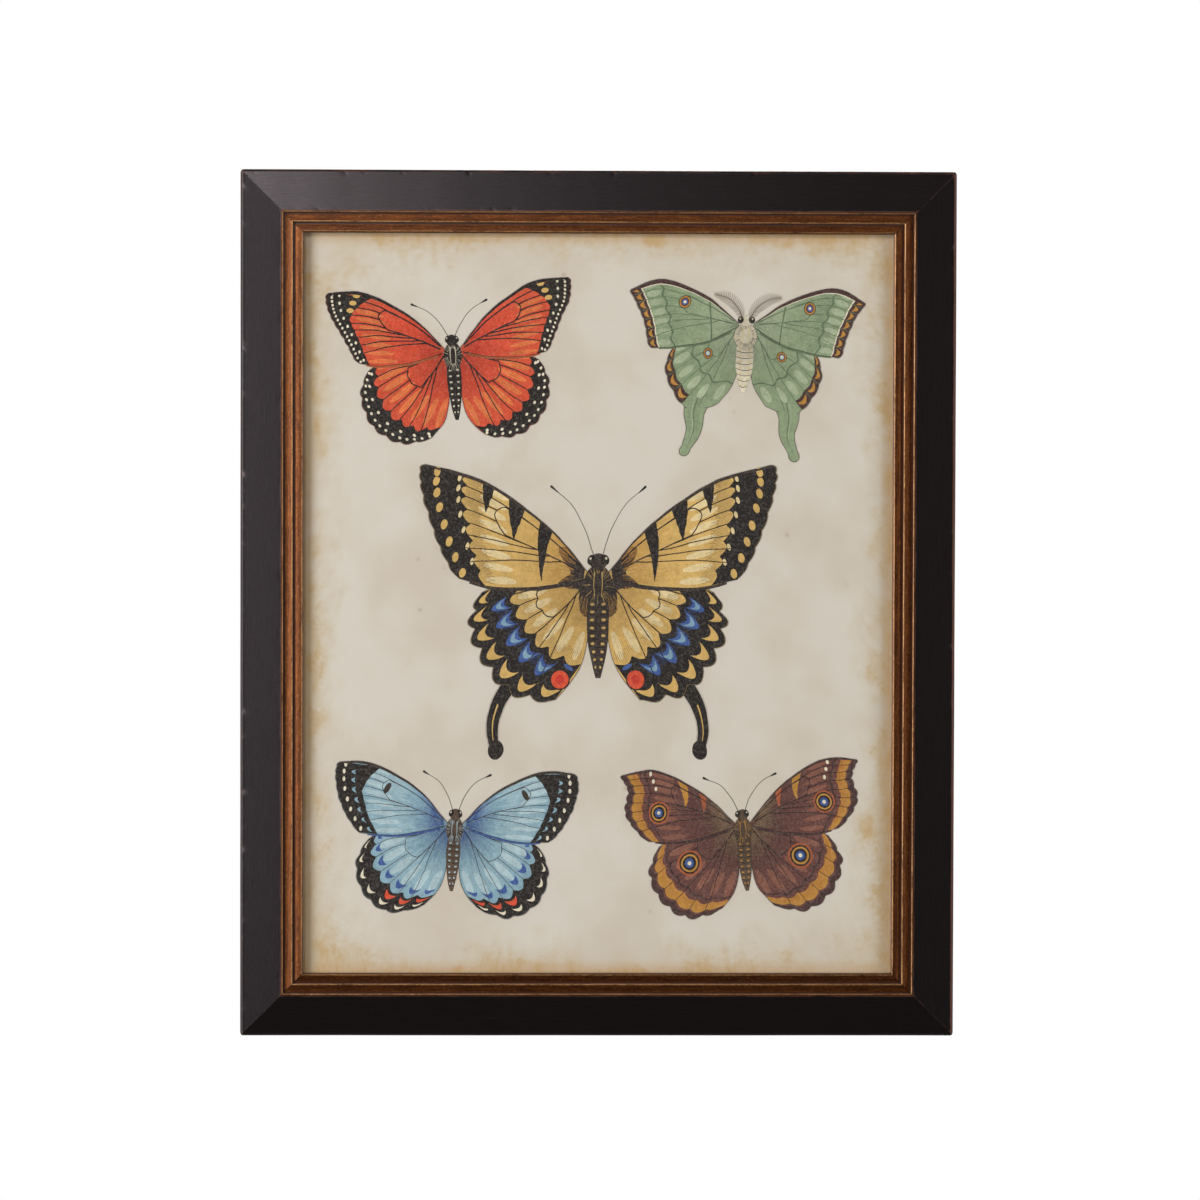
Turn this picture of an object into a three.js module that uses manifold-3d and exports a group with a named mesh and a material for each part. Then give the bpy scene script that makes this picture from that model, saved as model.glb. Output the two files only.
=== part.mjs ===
// A framed butterfly print. Four mitred rails of a stepped moulding hold a sheet of glass, the print and a
// backing board in their rebate, and the frame hangs by a sawtooth hanger on the back of its top rail.
// Millimetres, +Z up. The picture faces -Y and the wall is the plane y = 0. The origin is the point on the
// wall below the roof of the hanger's middle notch, where the wall nail bears.
import * as THREE from 'three';
import { mergeVertices } from 'three/addons/utils/BufferGeometryUtils.js';
import Module from 'manifold-3d';

const wasm = await Module();
wasm.setup();

// The sheet that the frame was made for, 16 by 20 inches, and the room left around it
const SHEET_WIDTH = 406.4;
const SHEET_HEIGHT = 508;
const SHEET_PLAY = 1.6;
const GLASS_THICKNESS = 2;
const PRINT_THICKNESS = 0.5;
const BOARD_THICKNESS = 3;

// Clearance between pieces that touch
const GAP = 0.3;

// Moulding section: u runs from the outer edge to the picture, h from the back of the rail to the front
const RAIL_WIDTH = 42.3;
const LIP_WIDTH = 6;
const REBATE_DEPTH = 12;
const OUTER_WALL_HEIGHT = 13.2;
const CREST_ROUND = 0.5;
const SIGHT_FALL = 0.8;

// Each tread of the section rises from its foot to a rounded crest, then drops to the foot of the next one
const TREADS = [
  { foot: 1.9, footHeight: 15.6, crest: 27.5, crestHeight: 19.6, edge: 28.9 },
  { foot: 30.1, footHeight: 17.4, crest: 34.1, crestHeight: 18.2, edge: 35.3 },
  { foot: 36.9, footHeight: 16.1, crest: 40.4, crestHeight: 16.8, edge: 41.7 },
];

// Framer's points: thin tabs with a tip in the rebate wall, and their places along each rail
const POINT_WIDTH = 9;
const POINT_THICKNESS = 0.6;
const POINT_REACH = 12;
const POINT_BITE = 6;
const POINT_SHOULDER = 2.5;
const SHORT_SIDE_POINTS = [-115, 115];
const LONG_SIDE_POINTS = [-170, 0, 170];

// Corner wedges: right-angled, with one leg in each rail, set along the mitre from the outer corner
const WEDGE_LEG = 5.5;
const WEDGE_THICKNESS = 1;
const WEDGE_DEPTH = 8;
const WEDGE_SINK = 0.3;
const WEDGE_PLACES = { outer: 10, inner: 26 };

// Sawtooth hanger: a strip whose middle stands off the rail, with notches along its lower edge
const NOTCH_DROP = 19;
const HANGER_LENGTH = 46;
const HANGER_HEIGHT = 12;
const HANGER_SHEET = 0.8;
const HANGER_TAB = 8;
const HANGER_RAMP = 3;
const HANGER_STAND_OFF = 1.8;
const NOTCH_COUNT = 5;
const NOTCH_PITCH = 4;
const NOTCH_WIDTH = 3;
const NOTCH_DEPTH = 2.2;

// Hanger nails
const NAIL_SHANK_RADIUS = 0.7;
const NAIL_LENGTH = 9;
const NAIL_POINT = 1.6;
const NAIL_HEAD_RADIUS = 2.1;
const NAIL_HEAD_HEIGHT = 0.8;
const NAIL_SIDES = 12;

// Wall bumpers on the bottom rail
const BUMPER_RADIUS = 5.5;
const BUMPER_THICKNESS = 3;
const BUMPER_CHAMFER = 0.5;
const BUMPER_FROM_SIDE = 32;
const BUMPER_FROM_BOTTOM = 13;
const BUMPER_SIDES = 24;

// Sizes that follow from those above
const REBATE_U = RAIL_WIDTH - LIP_WIDTH;
const OUTER_WIDTH = SHEET_WIDTH + 2 * (SHEET_PLAY + REBATE_U);
const OUTER_HEIGHT = SHEET_HEIGHT + 2 * (SHEET_PLAY + REBATE_U);
const GLASS_BACK = REBATE_DEPTH - GAP - GLASS_THICKNESS;
const PRINT_BACK = GLASS_BACK - GAP - PRINT_THICKNESS;
const BOARD_BACK = PRINT_BACK - GAP - BOARD_THICKNESS;
const POINT_BACK = BOARD_BACK - GAP - POINT_THICKNESS;
const NAIL_X = (HANGER_LENGTH - HANGER_TAB) / 2;
const NOTCH_Z = OUTER_HEIGHT / 2 - NOTCH_DROP;
const QUARTER_TURN = Math.PI / 2;

// The four sides, each turned about the picture's centre from the bottom: its rail runs along `length`, and
// its outer edge is half of `across` away from the centre
const SIDES = [
  { name: 'bottom', length: OUTER_WIDTH, across: OUTER_HEIGHT, points: SHORT_SIDE_POINTS },
  { name: 'left', length: OUTER_HEIGHT, across: OUTER_WIDTH, points: LONG_SIDE_POINTS },
  { name: 'top', length: OUTER_WIDTH, across: OUTER_HEIGHT, points: SHORT_SIDE_POINTS },
  { name: 'right', length: OUTER_HEIGHT, across: OUTER_WIDTH, points: LONG_SIDE_POINTS },
];
const CORNERS = [
  { name: 'bottom_left', x: -1, z: -1 },
  { name: 'bottom_right', x: 1, z: -1 },
  { name: 'top_left', x: -1, z: 1 },
  { name: 'top_right', x: 1, z: 1 },
];

const finishes = {
  moulding: { color: 0x2b2625, roughness: 0.55, metalness: 0 },
  glass: { color: 0xf2f6f4, roughness: 0.03, metalness: 0, transparent: true, opacity: 0.12 },
  paper: { color: 0xcec4b6, roughness: 0.9, metalness: 0 },
  hardboard: { color: 0x7a5636, roughness: 0.85, metalness: 0 },
  steel: { color: 0x9a9c9e, roughness: 0.4, metalness: 1 },
  brassed: { color: 0xb08d4a, roughness: 0.35, metalness: 1 },
  rubber: { color: 0x1d1d1e, roughness: 0.8, metalness: 0 },
};

// The picture's centre is the middle of the rails' back plane
const picture = new THREE.Group();
picture.position.set(0, -BUMPER_THICKNESS, -NOTCH_Z);

function addPiece(name, geometry, finish) {
  const mesh = new THREE.Mesh(geometry, new THREE.MeshStandardMaterial(finishes[finish]));
  mesh.name = name;
  picture.add(mesh);
}

function solidOf(geometry) {
  const bare = geometry.clone();
  bare.deleteAttribute('normal');
  bare.deleteAttribute('uv');
  const merged = mergeVertices(bare);
  const vertProperties = Float32Array.from(merged.attributes.position.array);
  const triVerts = Uint32Array.from(merged.index.array);
  return new wasm.Manifold(new wasm.Mesh({ numProp: 3, vertProperties, triVerts }));
}

function cutFrom(geometry, tools) {
  const solid = tools.reduce((body, tool) => body.subtract(solidOf(tool)), solidOf(geometry));
  const { vertProperties, triVerts } = solid.getMesh();
  const result = new THREE.BufferGeometry();
  result.setAttribute('position', new THREE.BufferAttribute(vertProperties, 3));
  result.setIndex(new THREE.BufferAttribute(triVerts, 1));
  result.computeVertexNormals();
  return result;
}

function outline(points) {
  return new THREE.Shape(points.map(([x, y]) => new THREE.Vector2(x, y)));
}

// A plate drawn in the picture's plane, from the height `back` above the rails' back towards the front
function plate(shape, back, thickness) {
  const geometry = new THREE.ExtrudeGeometry(shape, { depth: thickness, bevelEnabled: false, curveSegments: 6 });
  geometry.rotateX(QUARTER_TURN);
  geometry.translate(0, -back, 0);
  return geometry;
}

function placeOnSide(geometry, side, index) {
  geometry.translate(0, 0, -side.across / 2);
  geometry.rotateY(index * QUARTER_TURN);
  return geometry;
}

function mouldingSection() {
  const section = new THREE.Shape();
  const [face] = TREADS;
  section.moveTo(0, 0);
  section.lineTo(0, OUTER_WALL_HEIGHT);
  section.quadraticCurveTo(0, face.footHeight, face.foot, face.footHeight);
  TREADS.forEach((tread) => {
    section.lineTo(tread.foot, tread.footHeight);
    section.lineTo(tread.crest, tread.crestHeight);
    const middle = (tread.crest + tread.edge) / 2;
    section.quadraticCurveTo(middle, tread.crestHeight + CREST_ROUND, tread.edge, tread.crestHeight - CREST_ROUND);
    const next = TREADS[TREADS.indexOf(tread) + 1];
    if (next) section.lineTo(tread.edge, next.footHeight);
  });
  section.lineTo(RAIL_WIDTH, TREADS.at(-1).crestHeight - SIGHT_FALL);
  section.lineTo(RAIL_WIDTH, REBATE_DEPTH);
  section.lineTo(REBATE_U, REBATE_DEPTH);
  section.lineTo(REBATE_U, 0);
  return section;
}

// A straight length of the moulding, cut at 45 degrees at both ends, lying along X with its outer edge at z = 0
function mitredRail(length) {
  const geometry = new THREE.ExtrudeGeometry(mouldingSection(), { depth: 1, bevelEnabled: false, curveSegments: 4 });
  const position = geometry.attributes.position;
  for (let i = 0; i < position.count; i += 1) {
    const u = position.getX(i);
    const h = position.getY(i);
    const halfLength = length / 2 - u - GAP / Math.SQRT2;
    const along = position.getZ(i) > 0.5 ? halfLength : -halfLength;
    position.setXYZ(i, along, -h, u);
  }
  return geometry;
}

// A framer's point across the rebate wall, grown all round by `grow` to make the slot that its tip sits in
function framersPoint(along, grow) {
  const half = POINT_WIDTH / 2 + grow;
  const shape = new THREE.Shape();
  shape.moveTo(along, REBATE_U - POINT_BITE - 2 * grow);
  shape.lineTo(along + half, REBATE_U - POINT_SHOULDER - grow);
  shape.absarc(along, REBATE_U + POINT_REACH - half, half, 0, Math.PI);
  shape.lineTo(along - half, REBATE_U - POINT_SHOULDER - grow);
  return plate(shape, POINT_BACK - grow, POINT_THICKNESS + 2 * grow);
}

// A corner wedge, with its legs from the mitre into both rails, or the pocket around it
function cornerWedge(corner, place, grow) {
  const reach = WEDGE_LEG + grow;
  const half = WEDGE_THICKNESS / 2 + grow;
  const bend = [
    [-half, -half],
    [-half, reach],
    [half, reach],
    [half, half],
    [reach, half],
    [reach, -half],
  ];
  const shape = outline(bend.map(([inX, inZ]) => [
    corner.x * (OUTER_WIDTH / 2 - place - inX),
    corner.z * (OUTER_HEIGHT / 2 - place - inZ),
  ]));
  return plate(shape, WEDGE_SINK - 2 * grow, WEDGE_DEPTH + 3 * grow);
}

// A turned piece with its axis along Y, drawn as radius and distance from the rail's back towards the wall
function turned(points, sides, x, z) {
  const geometry = new THREE.LatheGeometry(points.map(([r, y]) => new THREE.Vector2(r, y)), sides);
  geometry.translate(x, 0, z);
  return geometry;
}

function hangerNail(x, z) {
  const underHead = HANGER_SHEET + 2 * GAP;
  return turned([
    [0, -NAIL_LENGTH],
    [NAIL_SHANK_RADIUS, NAIL_POINT - NAIL_LENGTH],
    [NAIL_SHANK_RADIUS, underHead],
    [NAIL_HEAD_RADIUS, underHead],
    [NAIL_HEAD_RADIUS * 0.9, underHead + NAIL_HEAD_HEIGHT * 0.6],
    [NAIL_HEAD_RADIUS * 0.5, underHead + NAIL_HEAD_HEIGHT],
    [0, underHead + NAIL_HEAD_HEIGHT],
  ], NAIL_SIDES, x, z);
}

// The straight hole around a hanger nail, through the strip and into the rail
function nailHole(x, z) {
  const hole = NAIL_LENGTH + GAP;
  const geometry = new THREE.CylinderGeometry(NAIL_SHANK_RADIUS + GAP, NAIL_SHANK_RADIUS + GAP, 2 * hole, NAIL_SIDES);
  geometry.translate(x, 0, z);
  return geometry;
}

function bumper(x, z) {
  return turned([
    [0, GAP],
    [BUMPER_RADIUS, GAP],
    [BUMPER_RADIUS, BUMPER_THICKNESS - BUMPER_CHAMFER],
    [BUMPER_RADIUS - BUMPER_CHAMFER, BUMPER_THICKNESS],
    [0, BUMPER_THICKNESS],
  ], BUMPER_SIDES, x, z);
}

// The strip is bent up from its end tabs to a middle that stands off the rail
function hangerStrip() {
  const end = HANGER_LENGTH / 2;
  const tab = end - HANGER_TAB;
  const middle = tab - HANGER_RAMP;
  const under = [
    [-end, GAP],
    [-tab, GAP],
    [-middle, HANGER_STAND_OFF],
    [middle, HANGER_STAND_OFF],
    [tab, GAP],
    [end, GAP],
  ];
  const over = under.map(([x, y]) => [x, y + HANGER_SHEET]).reverse();
  const strip = new THREE.ExtrudeGeometry(outline([...under, ...over]), { depth: HANGER_HEIGHT, bevelEnabled: false });
  strip.translate(0, 0, NOTCH_Z - NOTCH_DEPTH);
  return strip;
}

function hangerNotch(index) {
  const x = (index - (NOTCH_COUNT - 1) / 2) * NOTCH_PITCH;
  const slope = NOTCH_WIDTH / 2 / NOTCH_DEPTH;
  const mouth = NOTCH_DEPTH + GAP;
  const shape = outline([
    [x, NOTCH_Z],
    [x - slope * mouth, NOTCH_Z - mouth],
    [x + slope * mouth, NOTCH_Z - mouth],
  ]);
  return plate(shape, -2 * BUMPER_THICKNESS, 2 * BUMPER_THICKNESS);
}

function sheet(back, thickness) {
  const geometry = new THREE.BoxGeometry(SHEET_WIDTH, thickness, SHEET_HEIGHT);
  geometry.translate(0, -back - thickness / 2, GAP - SHEET_PLAY);
  return geometry;
}

const nailZ = NOTCH_Z - NOTCH_DEPTH + HANGER_HEIGHT / 2;
const nails = [
  { name: 'left', x: -NAIL_X },
  { name: 'right', x: NAIL_X },
];
const wedges = CORNERS.flatMap((corner) => Object.entries(WEDGE_PLACES)
  .map(([name, place]) => ({ name: `v_nail_${corner.name}_${name}`, corner, place })));

SIDES.forEach((side, index) => {
  const slots = side.points.map((along) => placeOnSide(framersPoint(along, GAP), side, index));
  const pockets = wedges
    .filter(({ corner }) => corner.name.includes(side.name))
    .map(({ corner, place }) => cornerWedge(corner, place, GAP));
  const holes = side.name === 'top' ? nails.map(({ x }) => nailHole(x, nailZ)) : [];
  const rail = placeOnSide(mitredRail(side.length), side, index);
  addPiece(`rail_${side.name}`, cutFrom(rail, [...slots, ...pockets, ...holes]), 'moulding');
});

addPiece('glass', sheet(GLASS_BACK, GLASS_THICKNESS), 'glass');
addPiece('print', sheet(PRINT_BACK, PRINT_THICKNESS), 'paper');
addPiece('backing_board', sheet(BOARD_BACK, BOARD_THICKNESS), 'hardboard');

SIDES.forEach((side, index) => {
  side.points.forEach((along, count) => {
    addPiece(`point_${side.name}_${count + 1}`, placeOnSide(framersPoint(along, 0), side, index), 'steel');
  });
});

wedges.forEach(({ name, corner, place }) => {
  addPiece(name, cornerWedge(corner, place, 0), 'steel');
});

const notches = Array.from({ length: NOTCH_COUNT }, (_, index) => hangerNotch(index));
const stripHoles = nails.map(({ x }) => nailHole(x, nailZ));
addPiece('hanger', cutFrom(hangerStrip(), [...notches, ...stripHoles]), 'brassed');

nails.forEach(({ name, x }) => {
  addPiece(`hanger_nail_${name}`, hangerNail(x, nailZ), 'brassed');
});

const bumperX = OUTER_WIDTH / 2 - BUMPER_FROM_SIDE;
const bumperZ = BUMPER_FROM_BOTTOM - OUTER_HEIGHT / 2;
addPiece('bumper_left', bumper(-bumperX, bumperZ), 'rubber');
addPiece('bumper_right', bumper(bumperX, bumperZ), 'rubber');

export default picture;
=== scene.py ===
"""A framed print of butterflies and moths, dressed for its picture: the worn black and bronze moulding, the
glass, the hand-coloured sheet behind it, and the hardware on the back."""
import math
import random

import bmesh
import bpy
from mathutils import Matrix, Vector, noise
from mathutils.geometry import delaunay_2d_cdt


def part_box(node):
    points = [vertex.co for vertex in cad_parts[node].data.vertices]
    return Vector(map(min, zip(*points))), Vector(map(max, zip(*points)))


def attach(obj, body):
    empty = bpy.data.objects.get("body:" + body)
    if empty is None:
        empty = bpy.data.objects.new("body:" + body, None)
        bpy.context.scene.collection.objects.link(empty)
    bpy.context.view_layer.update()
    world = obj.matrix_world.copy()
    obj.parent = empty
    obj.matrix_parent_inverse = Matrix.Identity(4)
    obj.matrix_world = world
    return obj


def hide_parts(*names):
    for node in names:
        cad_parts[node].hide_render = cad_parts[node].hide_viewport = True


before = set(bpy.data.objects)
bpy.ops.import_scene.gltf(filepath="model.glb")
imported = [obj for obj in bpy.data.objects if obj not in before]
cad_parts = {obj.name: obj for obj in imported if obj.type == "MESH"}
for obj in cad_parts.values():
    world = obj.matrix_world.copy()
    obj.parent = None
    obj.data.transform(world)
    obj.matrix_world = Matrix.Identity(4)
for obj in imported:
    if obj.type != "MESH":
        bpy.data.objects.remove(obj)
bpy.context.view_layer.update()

BODY = "root"
MM = 0.001

# Where the frame says things are
RAIL_BACK_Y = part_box("rail_top")[1].y
OUTER_LOW = Vector((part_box("rail_left")[0].x, RAIL_BACK_Y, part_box("rail_bottom")[0].z))
OUTER_HIGH = Vector((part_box("rail_right")[1].x, RAIL_BACK_Y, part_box("rail_top")[1].z))
CENTRE = (OUTER_LOW + OUTER_HIGH) / 2
OUTER_WIDTH = OUTER_HIGH.x - OUTER_LOW.x
OUTER_HEIGHT = OUTER_HIGH.z - OUTER_LOW.z

# The moulding's section in millimetres: across from the outer edge to the picture, high from back to front
RAIL_WIDTH = 42.3
LIP_WIDTH = 6.0
REBATE_ACROSS = RAIL_WIDTH - LIP_WIDTH
REBATE_DEPTH = 12.0
OUTER_WALL_HEIGHT = 13.2
CREST_ROUND = 0.5
SIGHT_FALL = 0.8
CORNER_ROUND = 2.4
FACE = {"foot": 1.9, "foot_high": 15.6, "crest": 28.1, "crest_high": 19.7, "edge": 28.9, "crown": 0.0}
OUTER_BAND = {"foot": 30.1, "foot_high": 17.4, "crest": 34.6, "crest_high": 18.3, "edge": 35.3,
              "crown": -0.12}
INNER_BAND = {"foot": 36.9, "foot_high": 16.0, "crest": 41.0, "crest_high": 16.9, "edge": 41.7, "crown": 0.1}
SIGHT_WIDTH = OUTER_WIDTH / MM - 2 * RAIL_WIDTH
SIGHT_HEIGHT = OUTER_HEIGHT / MM - 2 * RAIL_WIDTH

# The camera, fitted to the four outer corners of the frame
CAMERA_PLACE = (-0.0607, -3.0, -0.1872)
CAMERA_YAW = 1.189
CAMERA_PITCH = -1.591
CAMERA_ROLL = 0.158
CAMERA_LENS = 132.72
CAMERA_SENSOR = 36.0

# Brightness of a white sheet in the picture plane, by which a seen colour is divided to give the paint's own
PRINT_LIGHT = 0.83


# Node trees

class Value:
    """An output in a node tree. Arithmetic on it adds math nodes to the same tree."""

    def __init__(self, socket):
        self.socket = socket
        self.tree = socket.id_data

    def __add__(self, other):
        return calc("ADD", self, other)

    def __sub__(self, other):
        return calc("SUBTRACT", self, other)

    def __rsub__(self, other):
        return calc("SUBTRACT", other, self)

    def __mul__(self, other):
        return calc("MULTIPLY", self, other)

    def __truediv__(self, other):
        return calc("DIVIDE", self, other)

    def __pow__(self, other):
        return calc("POWER", self, other)

    def __neg__(self):
        return calc("MULTIPLY", self, -1.0)

    __radd__ = __add__
    __rmul__ = __mul__


def fill(socket, value):
    """Links a value to an input, or sets the input to a constant."""
    if isinstance(value, Value):
        value.tree.links.new(value.socket, socket)
    else:
        socket.default_value = value


def put(tree, kind, inputs=(), **settings):
    """Adds a node to a tree, sets it, and fills the inputs that are given by name or number."""
    node = tree.nodes.new(kind)
    for name, setting in settings.items():
        setattr(node, name, setting)
    for name, value in dict(inputs).items():
        fill(node.inputs[name], value)
    return node


def value_of(tree, kind, inputs=(), output=0, **settings):
    """Adds a node and gives one of its outputs."""
    return Value(put(tree, kind, inputs, **settings).outputs[output])


def tree_of(*values):
    return next(value.tree for value in values if isinstance(value, Value))


def calc(operation, *values):
    return value_of(tree_of(*values), "ShaderNodeMath", enumerate(values), operation=operation)


def mixed(factor, first, second, blend="MIX"):
    inputs = {0: factor, 6: first, 7: second}
    return value_of(tree_of(factor, first), "ShaderNodeMix", inputs, 2, data_type="RGBA", blend_type=blend)


def rising(value, low, high):
    """0 below low, 1 above high, and smooth between them."""
    inputs = {0: value, 1: low, 2: high}
    return value_of(value.tree, "ShaderNodeMapRange", inputs, interpolation_type="SMOOTHSTEP")


def falling(value, low, high):
    """1 below low, 0 above high, and smooth between them."""
    return 1 - rising(value, low, high)


def between(value, low, high, soft):
    """1 between low and high, falling to 0 over soft on each side."""
    return rising(value, low - soft, low) - rising(value, high, high + soft)


def grain(vector, scale, detail, roughness=0.55, distortion=0.0):
    inputs = {"Vector": vector, "Scale": scale, "Detail": detail, "Roughness": roughness,
              "Distortion": distortion}
    return value_of(vector.tree, "ShaderNodeTexNoise", inputs)


def stretched(vector, x, y, z):
    return value_of(vector.tree, "ShaderNodeMapping", {"Vector": vector, "Scale": (x, y, z)})


def combined(x, y, z):
    return value_of(tree_of(x, y, z), "ShaderNodeCombineXYZ", {0: x, 1: y, 2: z})


def parts_of(vector):
    return [Value(part) for part in put(vector.tree, "ShaderNodeSeparateXYZ", {0: vector}).outputs]


def attribute(tree, name, output="Fac"):
    return value_of(tree, "ShaderNodeAttribute", (), output, attribute_name=name)


def object_point(tree):
    return value_of(tree, "ShaderNodeTexCoord", (), "Object")


def bumped(height, distance, strength=1.0):
    inputs = {"Height": height, "Distance": distance, "Strength": strength}
    return value_of(height.tree, "ShaderNodeBump", inputs)


def new_material(name):
    material = bpy.data.materials.new(name)
    material.use_nodes = True
    tree = material.node_tree
    return material, tree, tree.nodes["Principled BSDF"]


def set_inputs(shader, **inputs):
    """Fills a shader's inputs, named with underscores for spaces."""
    for name, value in inputs.items():
        fill(shader.inputs[name.replace("_", " ")], value)


def linear(red, green, blue):
    """A colour seen on screen, in bytes, as a linear colour."""
    def one(byte):
        part = byte / 255
        return part / 12.92 if part <= 0.04045 else ((part + 0.055) / 1.055) ** 2.4
    return (one(red), one(green), one(blue), 1.0)


def printed(red, green, blue):
    """The colour that a print needs to be seen as these bytes in the picture's light."""
    return tuple(part / PRINT_LIGHT for part in linear(red, green, blue)[:3]) + (1.0,)


# Pieces

def add_piece(name, mesh, material, slot, *nodes):
    """Puts a finished mesh in the scene in place of the CAD nodes that it stands for."""
    piece = bpy.data.objects.new(name, mesh)
    bpy.context.scene.collection.objects.link(piece)
    if material is not None:
        mesh.materials.clear()
        mesh.materials.append(material)
    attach(piece, BODY)
    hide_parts(*nodes)


def smooth_by_angle(mesh, degrees):
    mesh.shade_smooth()
    mesh.set_sharp_from_angle(angle=math.radians(degrees))


def new_tree(name, inputs):
    """A Geometry Nodes tree with the given inputs, and the values that they give by name."""
    tree = bpy.data.node_groups.new(name, "GeometryNodeTree")
    tree.interface.new_socket("Geometry", in_out="INPUT", socket_type="NodeSocketGeometry")
    for label, kind in inputs.items():
        tree.interface.new_socket(label, in_out="INPUT", socket_type="NodeSocket" + kind)
    tree.interface.new_socket("Geometry", in_out="OUTPUT", socket_type="NodeSocketGeometry")
    given = tree.nodes.new("NodeGroupInput")
    return tree, {label: Value(given.outputs[label]) for label in ("Geometry", *inputs)}


def end_tree(tree, geometry, material):
    """Ends a tree in real mesh with its material."""
    real = value_of(tree, "GeometryNodeRealizeInstances", {0: geometry})
    done = value_of(tree, "GeometryNodeSetMaterial", {"Geometry": real, "Material": material})
    put(tree, "NodeGroupOutput", {0: done})


def grown_mesh(source, tree, values):
    """Runs a tree on an object with its inputs set, and gives the plain mesh that comes out."""
    bpy.context.scene.collection.objects.link(source)
    modifier = source.modifiers.new(tree.name, "NODES")
    modifier.node_group = tree
    for item in tree.interface.items_tree:
        if item.in_out == "INPUT" and item.name in values:
            modifier[item.identifier] = values[item.name]
    depsgraph = bpy.context.evaluated_depsgraph_get()
    mesh = bpy.data.meshes.new_from_object(source.evaluated_get(depsgraph), depsgraph=depsgraph)
    bpy.data.objects.remove(source)
    return mesh


# The moulding

SECTION_ARC_STEPS = 6
FACE_STEPS = 12
BAND_STEPS = 5
RAIL_STEPS = 420
MITRE_GAP = 0.03 * MM
WAVE_DEPTH = 0.35 * MM
DENT_DEPTH = 0.45 * MM
# Waves bend the front of a rail, above FRONT_HIGH, and sway its outer part, up to WAVY_ACROSS
FRONT_HIGH = (7 * MM, 12 * MM)
WAVY_ACROSS = (3 * MM, 16 * MM)
# Keep the patterns of two rails apart
FIRST_SEED = 0.4
SEED_STEP = 1.7
SEED_STRIDE = 997.0
SMOOTH_DEGREES = 38


def arc(start, pull, end, steps):
    """Points after start along a quadratic curve."""
    points = []
    for step in range(1, steps + 1):
        f = step / steps
        points.append(tuple(
            (1 - f) ** 2 * a + 2 * f * (1 - f) * b + f * f * c for a, b, c in zip(start, pull, end)))
    return points


def tread_points(tread, count):
    """A tread from its foot up to its crest, a little crowned or hollow, and round over the crest."""
    wide = tread["crest"] - tread["foot"]
    rise = tread["crest_high"] - tread["foot_high"]
    points = []
    for step in range(count + 1):
        f = step / count
        crown = 4 * tread["crown"] * f * (1 - f)
        points.append((tread["foot"] + wide * f, tread["foot_high"] + rise * f + crown))
    over = (tread["edge"], tread["crest_high"] + rise / wide * (tread["edge"] - tread["crest"]))
    end = (tread["edge"], tread["crest_high"] - CREST_ROUND)
    return points + arc(points[-1], over, end, SECTION_ARC_STEPS)


def section_points():
    """The moulding's section, from the back of the outer edge round to the rebate."""
    foot = (FACE["foot"], FACE["foot_high"])
    points = [(0, 0), (0, OUTER_WALL_HEIGHT / 3), (0, OUTER_WALL_HEIGHT)]
    points += arc(points[-1], (0, FACE["foot_high"]), foot, SECTION_ARC_STEPS)[:-1]
    points += tread_points(FACE, FACE_STEPS)
    points.append((FACE["edge"], OUTER_BAND["foot_high"]))
    points += tread_points(OUTER_BAND, BAND_STEPS)
    points.append((OUTER_BAND["edge"], INNER_BAND["foot_high"]))
    points += tread_points(INNER_BAND, BAND_STEPS)
    points.append((RAIL_WIDTH, INNER_BAND["crest_high"] - SIGHT_FALL))
    points += [(RAIL_WIDTH, REBATE_DEPTH), (REBATE_ACROSS, REBATE_DEPTH), (REBATE_ACROSS, 0)]
    return points


def section_curve():
    curve = bpy.data.curves.new("moulding_section", "CURVE")
    curve.dimensions = "3D"
    spline = curve.splines.new("POLY")
    points = section_points()
    spline.points.add(len(points) - 1)
    for point, (across, high) in zip(spline.points, points):
        point.co = (across * MM, high * MM, 0, 1)
    spline.use_cyclic_u = True
    return bpy.data.objects.new("moulding_section", curve)


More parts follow.
